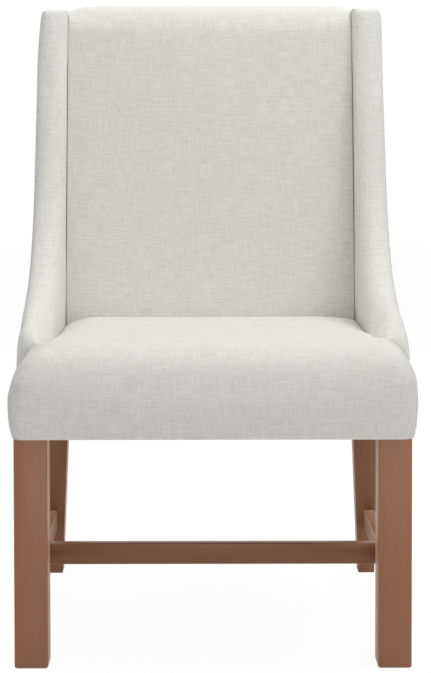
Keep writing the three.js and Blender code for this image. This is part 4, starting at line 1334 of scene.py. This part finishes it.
# %% A pattern made of geometry nodes
class Pattern(Recipe):
    def __init__(self, name, **sizes):
        super().__init__(bpy.data.node_groups.new(name, "GeometryNodeTree"))
        face = self.tree.interface
        face.new_socket("Geometry", in_out="OUTPUT", socket_type="NodeSocketGeometry")
        face.new_socket("Geometry", in_out="INPUT", socket_type="NodeSocketGeometry")
        self.slots = {}
        for size, kind in sizes.items():
            socket = face.new_socket(size.replace("_", " "), in_out="INPUT", socket_type="NodeSocket" + kind)
            self.slots[size] = socket.identifier
        self.start = self.tree.nodes.new("NodeGroupInput")
        self.end = self.tree.nodes.new("NodeGroupOutput")

    def given(self, name):
        return Term(self.tree, self.start.outputs[name.replace("_", " ")])

    def along_path(self, shape):
        """Sets the shape along the incoming path, its length lying the way the path's points say."""
        line = self.node("GeometryNodeMeshToCurve", {"Mesh": self.given("Geometry")})
        line = self.node(
            "GeometryNodeResampleCurve", {"Curve": line, "Length": self.given("Spacing")}, {"mode": "LENGTH"}
        )
        way = self.node("GeometryNodeInputNamedAttribute", {"Name": "way"}, {"data_type": "FLOAT_VECTOR"})
        tangent = self.node("GeometryNodeInputTangent")
        lean = self.node(
            "FunctionNodeRandomValue", {2: -1.0, 3: 1.0, "Seed": self.given("Seed")}, {"data_type": "FLOAT"}, out=1
        )
        lean = self.given("Slant") + lean * self.given("Unevenness")
        sideways = self.node("ShaderNodeVectorMath", {0: tangent, "Scale": lean}, {"operation": "SCALE"})
        pull = self.node("ShaderNodeVectorMath", {0: way, 1: sideways}, {"operation": "ADD"})
        turn = self.node("FunctionNodeAlignRotationToVector", {"Vector": pull}, {"axis": "X"})
        placed = self.node("GeometryNodeInstanceOnPoints", {"Points": line, "Instance": shape, "Rotation": turn})
        real = self.node("GeometryNodeRealizeInstances", {"Geometry": placed})
        real = self.node("GeometryNodeSetShadeSmooth", {"Geometry": real})
        real = self.node("GeometryNodeSetMaterial", {"Geometry": real, "Material": self.given("Material")})
        feed(self.tree, self.end.inputs["Geometry"], real)


def path_mesh(name, lines):
    """Chains of (place, way) pairs as one mesh of edges, with the ways as an attribute."""
    places, ways, edges = [], [], []
    for line in lines:
        first = len(places)
        places += [place for place, way in line]
        ways += [way for place, way in line]
        edges += [(first + k, first + k + 1) for k in range(len(line) - 1)]
    mesh = bpy.data.meshes.new(name)
    mesh.from_pydata(places, edges, [])
    carried = mesh.attributes.new("way", "FLOAT_VECTOR", "POINT")
    carried.data.foreach_set("vector", np.array(ways, float).ravel())
    return mesh


def repeat_along(name, lines, pattern, material, slot, **sizes):
    """Runs a pattern on a path and keeps what it makes as a piece with a plain mesh."""
    carrier = bpy.data.objects.new(name + "_path", path_mesh(name + "_path", lines))
    bpy.context.scene.collection.objects.link(carrier)
    recipe = carrier.modifiers.new(name, "NODES")
    recipe.node_group = pattern.tree
    for size, value in dict(sizes, Material=material).items():
        recipe[pattern.slots[size]] = value
    graph = bpy.context.evaluated_depsgraph_get()
    mesh = bpy.data.meshes.new_from_object(carrier.evaluated_get(graph), depsgraph=graph)
    mesh.name = name
    carrier.modifiers.clear()
    path = carrier.data
    bpy.data.objects.remove(carrier)
    bpy.data.meshes.remove(path)
    new_piece(name, mesh, material)
    print(name, len(mesh.polygons), "faces")


# %% The stitch
def thread_finish():
    """Waxed linen thread, a shade deeper than the cloth, with its strands as fine lines."""
    finish = Finish("linen_thread", Roughness=0.7)
    strands = finish.noise(finish.place((2600.0, 2600.0, 900.0)), detail=1.0)
    finish.set(Base_Color=finish.blend(strands, linear(186, 181, 168), linear(216, 212, 201)))
    finish.bump(strands, 0.1 * MM, 0.5)
    return finish.material


stitching = Pattern(
    "stitching", Spacing="Float", Stitch_Length="Float", Thread_Radius="Float", Slant="Float", Unevenness="Float",
    Seed="Int", Material="Material",
)
bead = stitching.node("GeometryNodeMeshUVSphere", {"Segments": 6, "Rings": 4, "Radius": 1.0})
half_length = stitching.given("Stitch_Length") * 0.5
radius = stitching.given("Thread_Radius")
bead_size = stitching.node("ShaderNodeCombineXYZ", {"X": half_length, "Y": radius, "Z": radius})
bead = stitching.node("GeometryNodeTransform", {"Geometry": bead, "Scale": bead_size})
stitching.along_path(bead)
thread = thread_finish()
print("stitching uses", len(stitching.tree.nodes), "nodes")


# %% Stitches round the outside panels
def wing_seam(side, sign):
    """The seam between a wing's cover and its outside panel, with the way across it."""
    line = np.array(inset_outline(panel_inset + 1.2 * MM))
    foot = np.array([(line[0][0], z) for z in steps(wing_foot + 6 * MM, line[0][1] - 4 * MM, 30 * MM)])
    top_end = rear_face(line[-1][1]) - 6 * MM
    top = np.array([(depth, line[-1][1]) for depth in steps(line[-1][0] + 4 * MM, top_end, 30 * MM)])
    line = np.concatenate([foot, line, top])
    along = np.gradient(line, axis=0)
    along /= np.linalg.norm(along, axis=1)[:, None]
    return [
        (
            (sign * (wing_outer - 1.6 * MM - float(droop_at(side, z))), at_depth(depth), z),
            (-0.45 * sign, float(run_z), -float(run_depth)),
        )
        for (depth, z), (run_depth, run_z) in zip(line, along)
    ]


stitch_sizes = dict(
    Spacing=9.0 * MM, Stitch_Length=6.2 * MM, Thread_Radius=0.45 * MM, Slant=0.35, Unevenness=0.12, Seed=7
)
for side, sign in (("right", 1), ("left", -1)):
    repeat_along("panel_stitches_" + side, [wing_seam(side, sign)], stitching, thread, "linen", **stitch_sizes)


# %% Stitches round the outside back
def back_seams():
    lines = []
    for sign in (1, -1):
        levels = steps(back_panel_foot + 6 * MM, back_panel_top - 12 * MM, 25 * MM)
        lines.append([
            ((sign * (back_panel_half - 2.2 * MM), at_depth(rear_face(z) - 0.6 * MM), z), (0.25 * sign, 1.0, 0.0))
            for z in levels
        ])
    top = back_panel_top - 2.0 * MM
    across = steps(-back_panel_half + 10 * MM, back_panel_half - 10 * MM, 25 * MM)
    lines.append([((x, at_depth(rear_face(top) - 0.2 * MM), top), (0.0, 1.0, -0.25)) for x in across])
    return lines


repeat_along("back_stitches", back_seams(), stitching, thread, "linen", **dict(stitch_sizes, Seed=11))

# %% Staples under the dust cloth
stapling = Pattern(
    "stapling", Spacing="Float", Crown_Width="Float", Wire_Radius="Float", Slant="Float", Unevenness="Float",
    Seed="Int", Material="Material",
)
half_crown = stapling.given("Crown_Width") * 0.5
left_end = stapling.node("ShaderNodeCombineXYZ", {"X": half_crown * -1.0})
right_end = stapling.node("ShaderNodeCombineXYZ", {"X": half_crown})
wire = stapling.node("GeometryNodeCurvePrimitiveLine", {"Start": left_end, "End": right_end})
wire = stapling.node("GeometryNodeResampleCurve", {"Curve": wire, "Count": 9}, {"mode": "COUNT"})
spot = stapling.node("GeometryNodeInputPosition")
reach_x = stapling.node("ShaderNodeSeparateXYZ", {"Vector": spot}) / half_crown
squared = reach_x * reach_x
eighth = squared * squared * squared * squared
driven_in = stapling.node("ShaderNodeCombineXYZ", {"Z": eighth * stapling.given("Wire_Radius") * 3.0})
wire = stapling.node("GeometryNodeSetPosition", {"Geometry": wire, "Offset": driven_in})
section = stapling.node("GeometryNodeCurvePrimitiveCircle", {"Resolution": 6, "Radius": stapling.given("Wire_Radius")})
wire = stapling.node("GeometryNodeCurveToMesh", {"Curve": wire, "Profile Curve": section, "Fill Caps": True})
stapling.along_path(wire)


def staple_lines():
    low = dust_low.z - 0.25 * MM
    inset = 9.0 * MM
    x_end, y_start, y_end = dust_high.x - inset, dust_low.y + inset, dust_high.y - inset
    y_first, y_last = at_depth(0.060), at_depth(0.497)  # the side rows stop short of the legs
    x_short = leg_low.x - 10 * MM
    runs = [
        ((-x_end, y_first), (-x_end, y_last), (0.0, 1.0)), ((x_end, y_first), (x_end, y_last), (0.0, 1.0)),
        ((-x_short, y_start), (x_short, y_start), (1.0, 0.0)), ((-x_short, y_end), (x_short, y_end), (1.0, 0.0)),
    ]
    lines = []
    for start, end, (way_x, way_y) in runs:
        shares = np.linspace(0, 1, 12)
        lines.append([
            ((start[0] + (end[0] - start[0]) * t, start[1] + (end[1] - start[1]) * t, low), (way_x, way_y, 0.0))
            for t in shares
        ])
    return lines


repeat_along(
    "dust_cloth_staples", staple_lines(), stapling, zinc, "zinc",
    Spacing=34.0 * MM, Crown_Width=11.0 * MM, Wire_Radius=0.45 * MM, Slant=0.0, Unevenness=0.12, Seed=5,
)

# %% [markdown]
# ## Floor, world and lamps
#
# A product photograph has a white floor that runs into a white wall. Here the world is white only for rays
# from the camera, or ones that a glossy surface sends back, and softer grey for lighting. The floor is pale
# and takes a shadow. To the camera most of it is a plain white, so only a trace of the shadow shows.
#
# Five soft boxes light the chair. The largest stands far in front, and one beside it on the right. Two hang
# above, the right one stronger, which shades the left wing's side. One behind lightens the top of the back.

# %% World
world = bpy.data.worlds.new("studio")
world.use_nodes = True
bpy.context.scene.world = world
sky = Recipe(world.node_tree)
sky.tree.nodes.clear()
ambient_strength = 0.30
pure_white = (1.0, 1.0, 1.0, 1.0)
white_rays = ("Is Camera Ray", "Is Glossy Ray", "Is Transmission Ray")


def sees_white(recipe):
    """1 for a ray from the camera, or one that a glossy or clear surface sends on, and 0 for the rest."""
    camera_ray, glossy_ray, clear_ray = (recipe.node("ShaderNodeLightPath", out=ray) for ray in white_rays)
    return (camera_ray + glossy_ray + clear_ray).clamp(0.0, 1.0)


dim = sky.node("ShaderNodeBackground", {"Color": pure_white, "Strength": ambient_strength})
white = sky.node("ShaderNodeBackground", {"Color": pure_white, "Strength": 1.0})
picked = sky.node("ShaderNodeMixShader", {0: sees_white(sky), 1: dim, 2: white})
world_out = sky.tree.nodes.new("ShaderNodeOutputWorld")
feed(sky.tree, world_out.inputs["Surface"], picked)
print("world uses", len(sky.tree.nodes), "nodes")

# %% Floor
floor_mesh = bpy.data.meshes.new("floor")
floor_size = 9.0
corners = [(-1, -1), (1, -1), (1, 1), (-1, 1)]
floor_mesh.from_pydata([(x * floor_size, y * floor_size, 0.0) for x, y in corners], [], [(0, 1, 2, 3)])
floor = bpy.data.objects.new("floor", floor_mesh)
bpy.context.scene.collection.objects.link(floor)
floor_finish = Finish("floor_paper", Base_Color=(0.86, 0.86, 0.86, 1.0), Roughness=0.9)
glow = floor_finish.node("ShaderNodeEmission", {"Color": pure_white, "Strength": 0.94})
trace = floor_finish.node("ShaderNodeBsdfDiffuse", {"Color": (0.12, 0.12, 0.12, 1.0)})
bright = floor_finish.node("ShaderNodeAddShader", {0: glow, 1: trace})
plain = Term(floor_finish.tree, floor_finish.shader.outputs[0])
mixed = floor_finish.node("ShaderNodeMixShader", {0: sees_white(floor_finish), 1: plain, 2: bright})
feed(floor_finish.tree, floor_finish.output.inputs["Surface"], mixed)
print("floor uses", len(floor_finish.tree.nodes), "nodes")
floor_mesh.materials.append(floor_finish.material)

# %% Lamps
lamp_aim = Vector((0.0, 0.0, 0.55))
soft_boxes = {  # place, width and height in metres, watts
    "right_top_box": ((1.2, -0.3, 3.1), 1.6, 37.5),
    "left_top_box": ((-1.2, -0.3, 3.1), 1.6, 13.5),
    "rear_box": ((0.0, 1.2, 3.0), 2.0, 18.0),
    "front_box": ((0.0, -6.5, 1.0), 3.6, 60.0),
    "right_front_box": ((3.0, -5.8, 1.6), 2.8, 31.0),
}
for name, (place, width, watts) in soft_boxes.items():
    light = bpy.data.lights.new(name, "AREA")
    light.shape = "RECTANGLE"
    light.size = width
    light.size_y = width
    light.energy = watts
    lamp = bpy.data.objects.new(name, light)
    lamp.location = place
    lamp.rotation_euler = (lamp_aim - Vector(place)).to_track_quat("-Z", "Y").to_euler()
    lamp.visible_camera = False
    bpy.context.scene.collection.objects.link(lamp)
print("lamps", len(soft_boxes), "with", sum(watts for place, width, watts in soft_boxes.values()), "W")
bpy.context.scene.view_settings.view_transform = "Standard"
